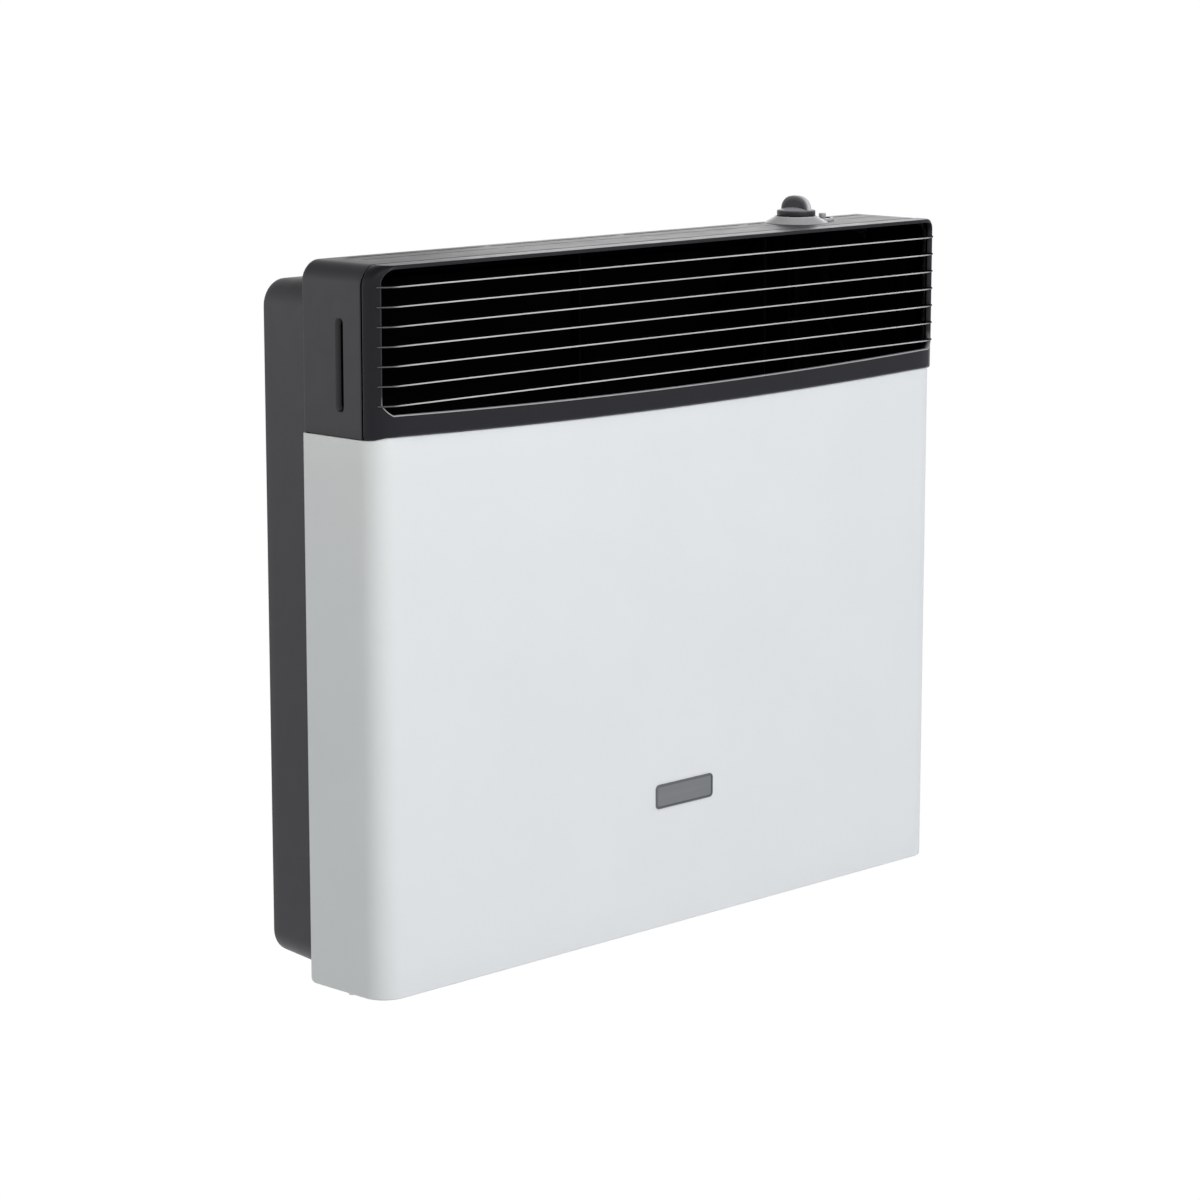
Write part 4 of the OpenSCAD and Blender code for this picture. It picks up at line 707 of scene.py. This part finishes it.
def blade_surface(node, grille):
    """A blade's section with a half round nose, run along the frame and round its corners."""
    low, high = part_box(node)
    half = (high[2] - low[2]) / 2
    front, back = grille.blade_proud, grille.blade_proud - grille.blade_depth
    ring = np.vstack([[[back, half], [back / 2, half]], arc(front - half, 0, half, 90, -90, 9),
                      [[back / 2, -half], [back, -half]]])
    out, rise = ring.T
    s_end = ARC_HALF + CORNER_R * grille.blade_turn
    s = front_run(s_end, 19, 40)
    x, y, nx, ny = on_plan(s, CAP_Y)
    points = xyz(x + nx * out, y + ny * out, high[2] - half + rise)
    # Painted highlight on the nose, fading to dark round the corners as painted shade; only the
    # nose keeps the blade's finish, and the rest takes the painted-shade black of the second
    # finish
    mark = (out > front - 1.5 * half) & within(rise, 0, 0.8 * half)
    bright = 1 - 0.9 * smooth_step((np.abs(s) - ARC_HALF + 6 * MM) / (14 * MM))
    column = np.arange(len(ring))
    surface = Surface()
    surface.grid(np.concatenate([points, points[:, :1]], axis=1),
                 mark=bright * np.append(mark, mark[0]), slot=(column < 4) | (column > 7))
    surface.cap(points[0])
    surface.cap(points[-1])
    return surface


def pan_loop(depth, inset, slots):
    """Outline of the rear pan at a distance from the wall, widened by its draft."""
    grow = PAN_SLOPE * (depth - PAN_DEPTH) - inset
    half_w, r = PAN_HIGH[0] + grow, PAN_R + grow
    top, bottom = PAN_HIGH[2] + grow, PAN_LOW[2] - grow
    right = np.vstack([arc(half_w - r, bottom + r, r, -90, 0, 10),
                       pairs(half_w, np.linspace(bottom + r, top - r, 14)[1:-1]),
                       arc(half_w - r, top - r, r, 0, 90, 10)])
    upper = pairs(np.linspace(half_w - r, r - half_w, 14)[1:-1], top)
    return np.vstack([pairs(slots, bottom), right, upper, mirrored(right)])


def pan_surface(casing):
    """The rear pan: its outline runs from the casing to the wall, drawn in by its draft.

    The edge at the wall is a quarter circle, and the back plate is pierced by the screw holes and
    the flue. Room air slots are left open in the lower wall.
    """
    count, size, gap = 9, 44 * MM, 20 * MM
    centres = (np.arange(count) - (count - 1) / 2) * (size + gap)
    slots = np.sort(np.concatenate([centres - size / 2, centres + size / 2]))
    a = np.linspace(0, QUARTER, 7)
    depth = np.array([72, 61, 52, 46, 38, 24, 12]) * MM
    depth = np.append(depth, casing.pan_edge * (1 - np.sin(a)))
    inset = np.append(np.zeros(7), casing.pan_edge * (1 - np.cos(a)))
    loops = np.stack([pan_loop(d, i, slots) for d, i in zip(depth, inset)], axis=1)
    keep = np.ones((len(loops), len(depth) - 1), bool)
    keep[0:2 * count:2, 3] = False
    surface = Surface()
    # The band next to the casing, under the hood, takes the painted-shade black of the second
    # finish
    surface.grid(xyz(loops[..., 0], -depth, loops[..., 1]), closed=True, keep=keep,
                 slot=np.arange(len(depth) - 1) < 1)
    holes = [(sx * SCREW_X, sz * SCREW_Z, SCREW_R, 24) for sx in (-1, 1) for sz in (-1, 1)]
    holes.append(((COLLAR_LOW[0] + COLLAR_HIGH[0]) / 2, (COLLAR_LOW[2] + COLLAR_HIGH[2]) / 2,
                  FLUE_R, 96))
    back = [loops[:, -1]] + [arc(x, z, r, 360, 360 / n, n) for x, z, r, n in holes]
    surface.plate([xyz(loop[:, 0], 0.0, loop[:, 1]) for loop in back])
    return surface


def badge_surface(controls):
    """The bare plate: rings of its round-cornered outline, from the panel out and over its rim."""
    (x0, y0, z0), (x1, y1, z1) = BADGE_LOW, BADGE_HIGH
    t, rim = y1 - y0, controls.badge_rim
    rings = [(0, 0, 0.4), (0, 0.8 * t, 0.4), (0.12 * MM, 0.95 * t, 0.6), (0.35 * MM, t, 0.6),
             (0.5 * rim, t, 0.4), (rim, 0.95 * t, 1.0), (rim + 0.15 * MM, 0.62 * t, 1.0),
             (rim + 0.6 * MM, 0.58 * t, 1.0), (rim + 0.9 * MM, 0.62 * t, 0.2),
             (rim + 1.5 * MM, 0.66 * t, 0)]
    loops = []
    for inset, height, _ in rings:
        loop = round_rect(x1 - x0, z1 - z0, controls.badge_corner, inset)
        loops.append(xyz((x1 + x0) / 2 + loop[:, 0], y1 - height, (z1 + z0) / 2 + loop[:, 1]))
    surface = Surface()
    surface.grid(np.stack(loops, axis=1), closed=True, mark=[mark for _, _, mark in rings])
    surface.cap(loops[-1])
    return surface


def bezel_surface(controls):
    """The knob's conical seat turned about its axis, and the plate that runs out to the button.

    The plate's edge is the tangent outline of the button's collar and the seat, drawn as rings
    round the button, each at its own height.
    """
    foot_r, seat_r = 28.5 * MM, KNOB_R + 0.8 * MM
    rim_r, high = seat_r + controls.seat_wall, BEZEL_HIGH[2]
    floor, plate = TOP_Z + 2.0 * MM, TOP_Z + controls.plate_height
    cone = [[foot_r, TOP_Z], [foot_r, TOP_Z + 0.2 * MM], [foot_r - 0.3 * MM, TOP_Z + 0.45 * MM],
            [foot_r - 1.1 * MM, TOP_Z + 0.9 * MM], [rim_r + 1.6 * MM, high - 1.55 * MM],
            [rim_r + 0.6 * MM, high - 1.0 * MM]]
    rim = arc((seat_r + rim_r) / 2, 0, controls.seat_wall / 2 - 0.05 * MM, 20, 180, 9)
    rim = rim * [1, 0.9] + [0, high - 0.6 * MM]
    inside = [[seat_r, high - 0.9 * MM], [seat_r, floor], [8.4 * MM, floor], [8.4 * MM, TOP_Z]]
    surface = Surface()
    # The seat's rim is marked for a painted highlight
    lathe(surface, np.vstack([cone, rim, inside]), (KNOB_X, KNOB_Y), 128,
          [0.0] * len(cone) + [1.0] * len(rim) + [0.0] * len(inside))
    collar_r, neck, limit = 10.5 * MM, 22.0 * MM, 15.5 * MM
    tangent = collar_r - 0.5 * MM
    angle = np.linspace(0, 2 * math.pi, 144, endpoint=False)
    c = np.cos(angle)
    across = np.abs(np.sin(angle)) + c * (neck - tangent) / (IGNITER_X - KNOB_X)
    wedge = np.where(across > 0, tangent / np.maximum(across, 1e-6), 1.0)
    wedge = np.minimum(wedge, limit / np.maximum(-c, 1e-9))
    reach = np.where(c < 0, np.maximum(collar_r, wedge), collar_r)
    rings = [(reach, TOP_Z), (reach, plate - 0.6 * MM), (reach - 0.18 * MM, plate - 0.18 * MM),
             (reach - 0.6 * MM, plate), (8.9 * MM, plate), (8.6 * MM, plate - 0.1 * MM),
             (8.3 * MM, plate - 0.35 * MM), (7.5 * MM, plate - 0.4 * MM),
             (7.2 * MM, plate - 0.7 * MM), (7.2 * MM, TOP_Z)]
    surface.grid(np.stack([xyz(IGNITER_X + r * c, KNOB_Y + r * np.sin(angle), z)
                           for r, z in rings], axis=1), closed=True)
    return surface


def knob_surface(controls):
    """The knob's disc turned about its axis, with a shallow parabolic dome, and its upright grip.

    Seen from the side, the grip is the upper half of a superellipse with the power 2.3. Across its
    thickness the rim follows a circle, so its faces are flat and its edge is round.
    """
    bottom, disc_low = KNOB_LOW[2] + 0.1 * MM, BEZEL_HIGH[2] + 0.5 * MM
    disc_top, rim = disc_low + controls.knob_disc, 1.3 * MM
    skirt = [[3.05 * MM, bottom], [6.3 * MM, bottom], [6.3 * MM, disc_low - 0.1 * MM],
             [KNOB_R - 0.7 * MM, disc_low], [KNOB_R - 0.15 * MM, disc_low + 0.25 * MM],
             [KNOB_R, disc_low + 0.8 * MM]]
    edge = arc(KNOB_R - rim, disc_top - rim, rim, 0, 90, 8)
    out = np.linspace(1, 0, 10)[1:]
    dome = pairs(np.maximum(out * (KNOB_R - rim), 0.01 * MM),
                 disc_top + controls.disc_dome * (1 - out ** 2))
    surface = Surface()
    # The disc's edge is marked for a painted highlight and its top for a painted reflection
    lathe(surface, np.vstack([skirt, edge, dome]), (KNOB_X, KNOB_Y), 128,
          np.concatenate([np.zeros(len(skirt)), np.linspace(0, 0.5, 8), np.full(len(dome), 0.6)]))
    big, power = KNOB_R - 0.9 * MM, 2.3
    half, soft = controls.grip_thickness / 2, controls.grip_round
    foot = disc_top - 0.4 * MM
    tall = KNOB_HIGH[2] - controls.grip_lowered - foot
    turn = np.linspace(0, math.pi, 57)[:, None]
    flat_y = np.sign(np.cos(turn)) * np.abs(np.cos(turn)) ** (2 / power)
    flat_z = np.sin(turn) ** (2 / power)
    b = np.linspace(0, QUARTER, 8)
    inset = np.append([0.62 * big, 0.3 * big, 2.6 * soft], soft * (1 - np.sin(b)))
    side = np.append([-half] * 3, -half + soft * (1 - np.cos(b)))
    # The grip's rounded rim is marked for a painted highlight
    mark = np.append([0.0] * 3, np.linspace(0.2, 1, 8))
    inset, side = np.append(inset, inset[::-1]), np.append(side, -side[::-1])
    points = xyz(KNOB_X + side, KNOB_Y + (big - inset) * flat_y, foot + (tall - inset) * flat_z)
    surface.grid(points, mark=np.append(mark, mark[::-1]))
    surface.cap(points[:, 0])
    surface.cap(points[:, -1])
    return surface


def button_surface():
    """The push button: a dished cap on a straight stem with a flange, turned about its axis."""
    r, rim, middle = 3.25 * MM, 0.8 * MM, 0.01 * MM
    stem_r, flange_r = r - 0.02 * MM, r + 1.45 * MM
    low, high = BUTTON_LOW[2], BUTTON_HIGH[2]
    stem = [[middle, low + 0.02 * MM], [flange_r, low + 0.02 * MM], [flange_r, low + 1.98 * MM],
            [stem_r, low + 2 * MM], [stem_r, high - 1.2 * MM]]
    dish = [[r / 2, high - 0.12 * MM], [middle, high - 0.2 * MM]]
    surface = Surface()
    lathe(surface, np.vstack([stem, arc(r - rim, high - rim, rim, 0, 90, 7), dish]),
          (IGNITER_X, KNOB_Y), 48)
    return surface


def spring_surface(node, wire, turns):
    """A compression spring: a round wire swept along a helix about an upright axis.

    The height grows evenly with the angle, but slowly over the first and the last 0.8 turn, where
    the coils lie almost on each other.
    """
    low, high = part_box(node)
    turn = np.linspace(0, turns, turns * 32 + 1)
    closed, rise = 0.8, 1.7 * wire
    foot, head = low[2] + wire, high[2] - wire
    height = np.interp(turn, [0, closed, turns - closed, turns],
                       [foot, foot + rise, head - rise, head])
    around = np.linspace(0, 2 * math.pi, 10, endpoint=False)[:, None]
    thin = wire - 0.01 * MM
    reach = (high[0] - low[0]) / 2 - wire + thin * np.cos(around)
    points = xyz((low[0] + high[0]) / 2 + reach * np.cos(2 * math.pi * turn),
                 (low[1] + high[1]) / 2 + reach * np.sin(2 * math.pi * turn),
                 height + thin * np.sin(around))
    surface = Surface()
    surface.grid(points, closed=True)
    surface.cap(points[:, 0])
    surface.cap(points[:, -1])
    return surface


# ---- Materials ----

class Nodes:
    """Short way to build the nodes of a material or a world."""

    def __init__(self, owner):
        owner.use_nodes = True
        self.tree = owner.node_tree
        self.tree.nodes.clear()

    def add(self, kind, values=None, **settings):
        """A node with its settings, and its sockets set or linked by name or number."""
        node = self.tree.nodes.new(kind)
        for key, value in settings.items():
            setattr(node, key, value)
        for key, value in (values or {}).items():
            if isinstance(value, bpy.types.NodeSocket):
                self.tree.links.new(value, node.inputs[key])
            else:
                node.inputs[key].default_value = value
        return node

    def seen(self):
        """1 for rays that the camera, a mirror or glass sends out, otherwise 0."""
        path = self.add("ShaderNodeLightPath").outputs
        total = path["Is Camera Ray"]
        for name in ("Is Glossy Ray", "Is Transmission Ray"):
            either = self.add("ShaderNodeMath", {0: total, 1: path[name]}, operation="MAXIMUM")
            total = either.outputs[0]
        return total


class Shader(Nodes):
    """Short way to build one material's nodes. The material is kept in MATERIALS."""

    def __init__(self, name):
        MATERIALS[name] = bpy.data.materials.new(name)
        super().__init__(MATERIALS[name])
        self.place = self.add("ShaderNodeTexCoord").outputs["Object"]

    def noise(self, scale, detail=3.0, stretch=(1, 1, 1)):
        """Noise over the object, from 0 to 1."""
        spot = self.add("ShaderNodeMapping", {"Vector": self.place, "Scale": stretch}).outputs[0]
        values = {"Vector": spot, "Scale": scale, "Detail": detail}
        return self.add("ShaderNodeTexNoise", values).outputs["Fac"]

    def between(self, value, low, high):
        """The value carried from 0.3 to 0.7 onto low to high."""
        values = {0: value, 1: 0.3, 2: 0.7, 3: low, 4: high}
        return self.add("ShaderNodeMapRange", values).outputs[0]

    def blend(self, share, first, second):
        """Colour between two colours."""
        node = self.add("ShaderNodeMix", {0: share, 6: first, 7: second}, data_type="RGBA")
        return node.outputs[2]

    def varied(self, noise, colour, spread):
        """The colour from darker to lighter by the spread, as the noise goes."""
        return self.blend(self.between(noise, 0.0, 1.0), shade(colour, 1 - spread),
                          shade(colour, 1 + spread))

    def mark(self):
        """The marked value of the surface's points."""
        return self.add("ShaderNodeAttribute", attribute_name="mark").outputs["Fac"]

    def marked(self, tint, colour):
        """The tint, with any other colour given where the surface's points are marked."""
        return self.blend(self.mark(), tint, rgba(*colour)) if colour else tint

    def surface(self, colour, rough, metal=0.0, bump=None, gloss=0.5, **more):
        """A surface shader. bump is a height, its strength and its distance."""
        values = {"Base Color": colour, "Roughness": rough, "Metallic": metal,
                  "Specular IOR Level": gloss, **more}
        if bump:
            height, strength, distance = bump
            values["Normal"] = self.add("ShaderNodeBump", {"Height": height, "Strength": strength,
                                                           "Distance": distance}).outputs[0]
        return self.add("ShaderNodeBsdfPrincipled", values).outputs[0]

    def finish(self, *values, **more):
        """Ends the material in a surface shader."""
        self.add("ShaderNodeOutputMaterial", {"Surface": self.surface(*values, **more)})


def rgba(r, g, b):
    """An opaque colour for a socket."""
    return (r, g, b, 1.0)


def shade(colour, factor):
    """The colour made lighter or darker, for a socket."""
    return rgba(*[min(c * factor, 1.0) for c in colour])


def enamel(name, colour, rough, spread, peel, marked=None, gloss=0.5):
    """Stove enamel or paint: faint cloudy shade, uneven gloss and a fine orange peel.

    marked is the colour where the surface's points are marked.
    """
    m = Shader(name)
    tint = m.marked(m.varied(m.noise(9.0, 4.0), colour, spread), marked)
    m.finish(tint, m.between(m.noise(55.0), rough * 0.93, rough * 1.07),
             bump=(m.noise(900.0, 2.0), peel, 0.0003), gloss=gloss)


def metal(name, colour, rough, stretch, spread, marked=None, full=1.0, scratch=0.06):
    """Bare or plated metal: streaks along its working direction in colour, gloss and height."""
    m = Shader(name)
    streak = m.noise(420.0, 4.0, stretch)
    tint = m.blend(m.between(m.noise(16.0), 0.0, 0.35), m.varied(streak, colour, spread),
                   shade(colour, 1 - 2 * spread))
    m.finish(m.marked(tint, marked), m.between(streak, rough * 0.8, rough * 1.2), full,
             bump=(streak, scratch, 0.0002))


def plastic(name, colour, rough, marked=None, gloss=0.5):
    """Moulded plastic: fine grain, a faint cloud, and a lighter colour where the points are
    marked, which paints highlights and reflections.
    """
    m = Shader(name)
    m.finish(m.marked(m.varied(m.noise(40.0), colour, 0.05), marked),
             m.between(m.noise(300.0), rough * 0.9, rough * 1.1),
             bump=(m.noise(2600.0, 2.0), 0.1, 0.0002), gloss=gloss)


def louvre_material():
    """Blade: dull black body, with a painted highlight on the nose where the points are marked,
    streaked along the blade.
    """
    m = Shader("louvre_metal")
    streak, cloud = m.noise(380.0, 3.0, (0.05, 1, 1)), m.noise(30.0)
    bright = m.blend(m.between(streak, 0, 1), rgba(0.52, 0.522, 0.53), rgba(0.66, 0.662, 0.67))
    body = m.blend(m.between(cloud, 0, 1), rgba(0.006, 0.006, 0.007), rgba(0.012, 0.012, 0.014))
    share = m.mark()
    rough = m.add("ShaderNodeMapRange", {0: share, 1: 0.0, 2: 1.0, 3: 0.6, 4: 0.34}).outputs[0]
    m.finish(m.blend(share, body, bright), rough, bump=(streak, 0.03, 0.0002))


def glass_material():
    """Heat-proof glass with a faint haze of soot."""
    m = Shader("sight_glass")
    m.finish(rgba(0.86, 0.9, 0.92), m.between(m.noise(60.0), 0.02, 0.14),
             **{"Transmission Weight": 1.0, "IOR": 1.47})


def make_materials(colours):
    """Every finish of the object, named for the record's material slot."""
    enamel("casing_white", colours.white, 0.42, 0.012, 0.05)
    # The dark paint's marked colour is painted shade in the cheeks' grooves
    enamel("casing_dark", colours.dark, 0.40, 0.05, 0.12, marked=(0.003, 0.003, 0.003), gloss=0.30)
    # The frame's marked colour is the painted highlight of the lip and the seam's edge
    enamel("grille_black", colours.grille, 0.34, 0.06, 0.1, marked=colours.lip, gloss=0.17)
    # Painted shade: a dull black without gloss, for the sheets' insides and for places that are to
    # read dark in shade, behind the louvres, in the grooves, at the seam and on the pan under the
    # hood
    enamel("inside_black", (0.0028, 0.0027, 0.0032), 0.8, 0.3, 0.1, gloss=0.0)
    enamel("chamber_steel", (0.030, 0.028, 0.027), 0.62, 0.3, 0.3)
    enamel("dark_sheet", (0.010, 0.010, 0.011), 0.7, 0.3, 0.25, gloss=0.15)
    enamel("seal_fibre", (0.55, 0.52, 0.45), 0.9, 0.12, 0.8, gloss=0.1)
    enamel("ceramic", (0.72, 0.69, 0.62), 0.18, 0.04, 0.04)
    metal("badge_metal", colours.plate, 0.36, (0.03, 1, 1), 0.06, marked=(0.10, 0.102, 0.11),
          full=0.5, scratch=0.03)
    # The bezel's marked colour is a painted highlight on the seat's rim
    metal("bezel_metal", colours.bezel, 0.34, (1, 1, 1), 0.05, marked=(0.60, 0.61, 0.63),
          full=0.15, scratch=0.02)
    metal("zinc_steel", (0.50, 0.51, 0.52), 0.38, (1, 1, 0.2), 0.12)
    metal("steel", (0.55, 0.55, 0.56), 0.28, (1, 1, 0.1), 0.08)
    metal("burner_steel", (0.24, 0.19, 0.15), 0.42, (0.1, 1, 1), 0.35)
    metal("duct_metal", (0.62, 0.63, 0.64), 0.34, (1, 0.1, 1), 0.08)
    metal("valve_brass", (0.62, 0.43, 0.17), 0.30, (1, 1, 0.3), 0.12)
    metal("pipe_copper", (0.56, 0.27, 0.15), 0.33, (1, 1, 0.3), 0.2)
    # The knob's marked colour paints highlights on its edges and a reflection on its disc's top
    plastic("knob_plastic", colours.knob, 0.36, marked=(0.62, 0.62, 0.67), gloss=0.3)
    plastic("button_plastic", colours.button, 0.3)
    plastic("control_black", (0.022, 0.023, 0.026), 0.45)
    plastic("lead_sleeve", (0.22, 0.03, 0.025), 0.5)
    louvre_material()
    glass_material()


# Given the painted-shade black instead of their own finish, so that the way behind the louvres
# reads dark
SHADE_BLACK_NODES = ("louvre_rib_left", "louvre_rib_right", "heat_deflector", "bay_shield", "control_rod",
              "rod_guide", "igniter_body", "igniter_nut", "ignition_lead", "casing_brackets",
              "chamber_screws", "chamber_rails")


# ---- Operators ----

class HeaterOperator(bpy.types.Operator):
    """Base of the heater's operators."""
    bl_options = {"REGISTER"}


class HEATER_OT_finishes(HeaterOperator):
    """Makes the finishes and gives each piece of the frame its own, or the painted-shade black
    behind the louvres
    """
    bl_idname = "heater.finishes"
    bl_label = "Finishes"

    def execute(self, context):
        make_materials(context.scene.heater_finishes)
        for part in frame["record"]["subparts"]:
            node = frame["nodes"][part["node"]]
            finish = "inside_black" if part["node"] in SHADE_BLACK_NODES else part["material_slot"]
            node.data.materials.clear()
            node.data.materials.append(MATERIALS[finish])
        return {"FINISHED"}


class HEATER_OT_front_panel(HeaterOperator):
    """Builds the white sheet front with its sides"""
    bl_idname = "heater.front_panel"
    bl_label = "Front panel"

    def execute(self, context):
        casing = context.scene.heater_casing
        build(front_panel_surface(casing), "Front_panel", "root", "casing_white", "front_panel",
              sheet=casing.sheet)
        return {"FINISHED"}


class HEATER_OT_hood(HeaterOperator):
    """Builds the dark hood with its grooves and slots"""
    bl_idname = "heater.hood"
    bl_label = "Hood"

    def execute(self, context):
        casing = context.scene.heater_casing
        build(hood_surface(casing), "Top_hood", "root", "casing_dark", "top_hood",
              sheet=casing.sheet)
        return {"FINISHED"}


class HEATER_OT_grille(HeaterOperator):
    """Builds the dark frame round the warm air opening"""
    bl_idname = "heater.grille"
    bl_label = "Grille frame"

    def execute(self, context):
        scene = context.scene
        surface = grille_surface(scene.heater_grille, scene.heater_casing.hood_corner)
        build(surface, "Grille_frame", "root", "grille_black", "grille_frame")
        return {"FINISHED"}


class HEATER_OT_louvres(HeaterOperator):
    """Builds the seven louvre blades"""
    bl_idname = "heater.louvres"
    bl_label = "Louvres"

    def execute(self, context):
        for i in range(1, 8):
            surface = blade_surface(f"louvre_{i}", context.scene.heater_grille)
            build(surface, f"Louvre_blade_{i}", "root", "louvre_metal", f"louvre_{i}",
                  inside=True, smooth_angle=50.0)
        return {"FINISHED"}


class HEATER_OT_rear_pan(HeaterOperator):
    """Builds the dark pressed pan against the wall"""
    bl_idname = "heater.rear_pan"
    bl_label = "Rear pan"

    def execute(self, context):
        casing = context.scene.heater_casing
        build(pan_surface(casing), "Rear_pan", "root", "casing_dark", "rear_pan",
              sheet=casing.sheet)
        return {"FINISHED"}


class HEATER_OT_badge(HeaterOperator):
    """Builds the bare plate on the front"""
    bl_idname = "heater.badge"
    bl_label = "Bare plate"

    def execute(self, context):
        surface = badge_surface(context.scene.heater_controls)
        build(surface, "Bare_plate", "root", "badge_metal", "badge_plate")
        return {"FINISHED"}


class HEATER_OT_controls(HeaterOperator):
    """Builds the bezel, the knob and the igniter button"""
    bl_idname = "heater.controls"
    bl_label = "Controls"

    def execute(self, context):
        controls = context.scene.heater_controls
        build(bezel_surface(controls), "Control_bezel", "root", "bezel_metal", "control_bezel")
        build(knob_surface(controls), "Control_knob", "control", "knob_plastic", "control_knob")
        build(button_surface(), "Igniter_button", "igniter", "button_plastic", "igniter_button")
        return {"FINISHED"}


class HEATER_OT_springs(HeaterOperator):
    """Builds the two springs"""
    bl_idname = "heater.springs"
    bl_label = "Springs"

    def execute(self, context):
        for node, wire, turns, joint in (("valve_spring", 0.6 * MM, 6, "knob_push"),
                                         ("igniter_spring", 0.4 * MM, 7, "igniter_press")):
            surface = spring_surface(node, wire, turns)
            spring = build(surface, node.capitalize(), "root", "steel", node)
            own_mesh(spring)
        return {"FINISHED"}


def area_lamp(name, place, target, size, power, colour=(1, 1, 1)):
    """A rectangular lamp that looks at a point."""
    data = bpy.data.lights.new(name, "AREA")
    data.shape = "RECTANGLE"
    data.size, data.size_y = size
    data.energy = power
    data.color = colour
    lamp = bpy.data.objects.new(name, data)
    lamp.location = place
    lamp.rotation_euler = (Vector(target) - Vector(place)).to_track_quat("-Z", "Y").to_euler()
    lamp.visible_camera = False
    bpy.context.scene.collection.objects.link(lamp)


def make_world(stage):
    """White round the object that turns grey overhead, and an even grey light from all round."""
    world = bpy.data.worlds.new("Studio")
    bpy.context.scene.world = world
    m = Nodes(world)
    way = m.add("ShaderNodeSeparateXYZ", {0: m.add("ShaderNodeTexCoord").outputs["Generated"]})
    values = {0: way.outputs["Z"], 1: 0.30, 2: 0.68, 3: 1.0, 4: stage.ceiling}
    overhead = m.add("ShaderNodeMapRange", values, interpolation_type="SMOOTHSTEP").outputs[0]
    backdrop = m.add("ShaderNodeBackground", {"Color": overhead, "Strength": stage.backdrop})
    light = m.add("ShaderNodeBackground", {"Color": rgba(0.98, 0.99, 1.0),
                                           "Strength": stage.ambient})
    mix = m.add("ShaderNodeMixShader", {0: m.seen(), 1: light.outputs[0], 2: backdrop.outputs[0]})
    m.add("ShaderNodeOutputWorld", {"Surface": mix.outputs[0]})


def floor_material(stage):
    """Pale floor with a faint unevenness, which reads white and keeps a light shadow."""
    m = Shader("floor")
    tint = m.blend(m.between(m.noise(2.0), 0, 1), rgba(0.80, 0.80, 0.80), rgba(0.82, 0.82, 0.82))
    lit = m.surface(tint, m.between(m.noise(12.0), 0.8, 0.9), gloss=0.1)
    glow = m.add("ShaderNodeEmission", {"Strength": stage.backdrop}).outputs[0]
    share = m.add("ShaderNodeMath", {0: m.seen(), 1: stage.floor_white}, operation="MULTIPLY")
    mix = m.add("ShaderNodeMixShader", {0: share.outputs[0], 1: lit, 2: glow})
    m.add("ShaderNodeOutputMaterial", {"Surface": mix.outputs[0]})


class HEATER_OT_stage(HeaterOperator):
    """Sets up the floor, the light and the camera"""
    bl_idname = "heater.stage"
    bl_label = "Stage"

    def execute(self, context):
        stage = context.scene.heater_stage
        surface = Surface()
        line = np.linspace(-FLOOR_HALF, FLOOR_HALF, 9)
        surface.grid(xyz(line[:, None], line, BOTTOM_Z - stage.floor_drop))
        floor = surface.object("Floor")
        floor_material(stage)
        floor.data.materials.append(MATERIALS["floor"])
        make_world(stage)
        area_lamp("Key", (0.0, -3.3, 1.9), (0, -0.1, 0), (2.6, 2.2), 81)
        area_lamp("Left", (-1.1, -0.6, 0.95), (-0.35, -0.1, 0.1), (0.7, 0.6), 2.1,
                  (1.0, 1.0, 0.68))
        area_lamp("Rear_left", (-1.5, 1.0, 0.3), (-0.35, -0.06, 0), (0.8, 0.8), 2.2)
        area_lamp("Rear_right", (1.3, 0.85, 0.62), (0.2, -0.1, 0.3), (0.9, 0.5), 1.7)
        data = bpy.data.cameras.new("Camera")
        data.lens = stage.lens
        data.sensor_width = 36
        data.clip_end = 200
        camera = bpy.data.objects.new("Camera", data)
        camera.location = CAMERA_PLACE
        camera.rotation_euler = (math.radians(90 - CAMERA_TILT), 0.0, math.radians(-CAMERA_TURN))
        context.scene.collection.objects.link(camera)
        context.scene.camera = camera
        context.scene.view_settings.view_transform = "Standard"
        return {"FINISHED"}


class HEATER_PT_panel(bpy.types.Panel):
    """Builds the heater and shows its settings"""
    bl_idname = "HEATER_PT_panel"
    bl_label = "Gas heater"
    bl_space_type = "VIEW_3D"
    bl_region_type = "UI"
    bl_category = "Heater"

    def draw(self, context):
        for operator in OPERATORS:
            self.layout.operator(operator.bl_idname)
        for group in SETTINGS:
            box = self.layout.box()
            settings = getattr(context.scene, group)
            for name in settings.__annotations__:
                box.prop(settings, name)


OPERATORS = (HEATER_OT_finishes, HEATER_OT_front_panel, HEATER_OT_hood, HEATER_OT_grille,
             HEATER_OT_louvres, HEATER_OT_rear_pan, HEATER_OT_badge, HEATER_OT_controls,
             HEATER_OT_springs, HEATER_OT_stage)
SETTINGS = {"heater_casing": CasingSettings, "heater_grille": GrilleSettings,
            "heater_controls": ControlSettings, "heater_finishes": FinishSettings,
            "heater_stage": StageSettings}


def register():
    for group, kind in SETTINGS.items():
        bpy.utils.register_class(kind)
        setattr(bpy.types.Scene, group, bpy.props.PointerProperty(type=kind))
    for kind in OPERATORS + (HEATER_PT_panel,):
        bpy.utils.register_class(kind)


def unregister():
    for kind in (HEATER_PT_panel,) + OPERATORS[::-1]:
        bpy.utils.unregister_class(kind)
    for group, kind in SETTINGS.items():
        delattr(bpy.types.Scene, group)
        bpy.utils.unregister_class(kind)


def main():
    register()
    bpy.ops.heater.finishes()
    bpy.ops.heater.front_panel()
    bpy.ops.heater.hood()
    bpy.ops.heater.grille()
    bpy.ops.heater.louvres()
    bpy.ops.heater.rear_pan()
    bpy.ops.heater.badge()
    bpy.ops.heater.controls()
    bpy.ops.heater.springs()
    bpy.ops.heater.stage()


if __name__ == "__main__":
    main()
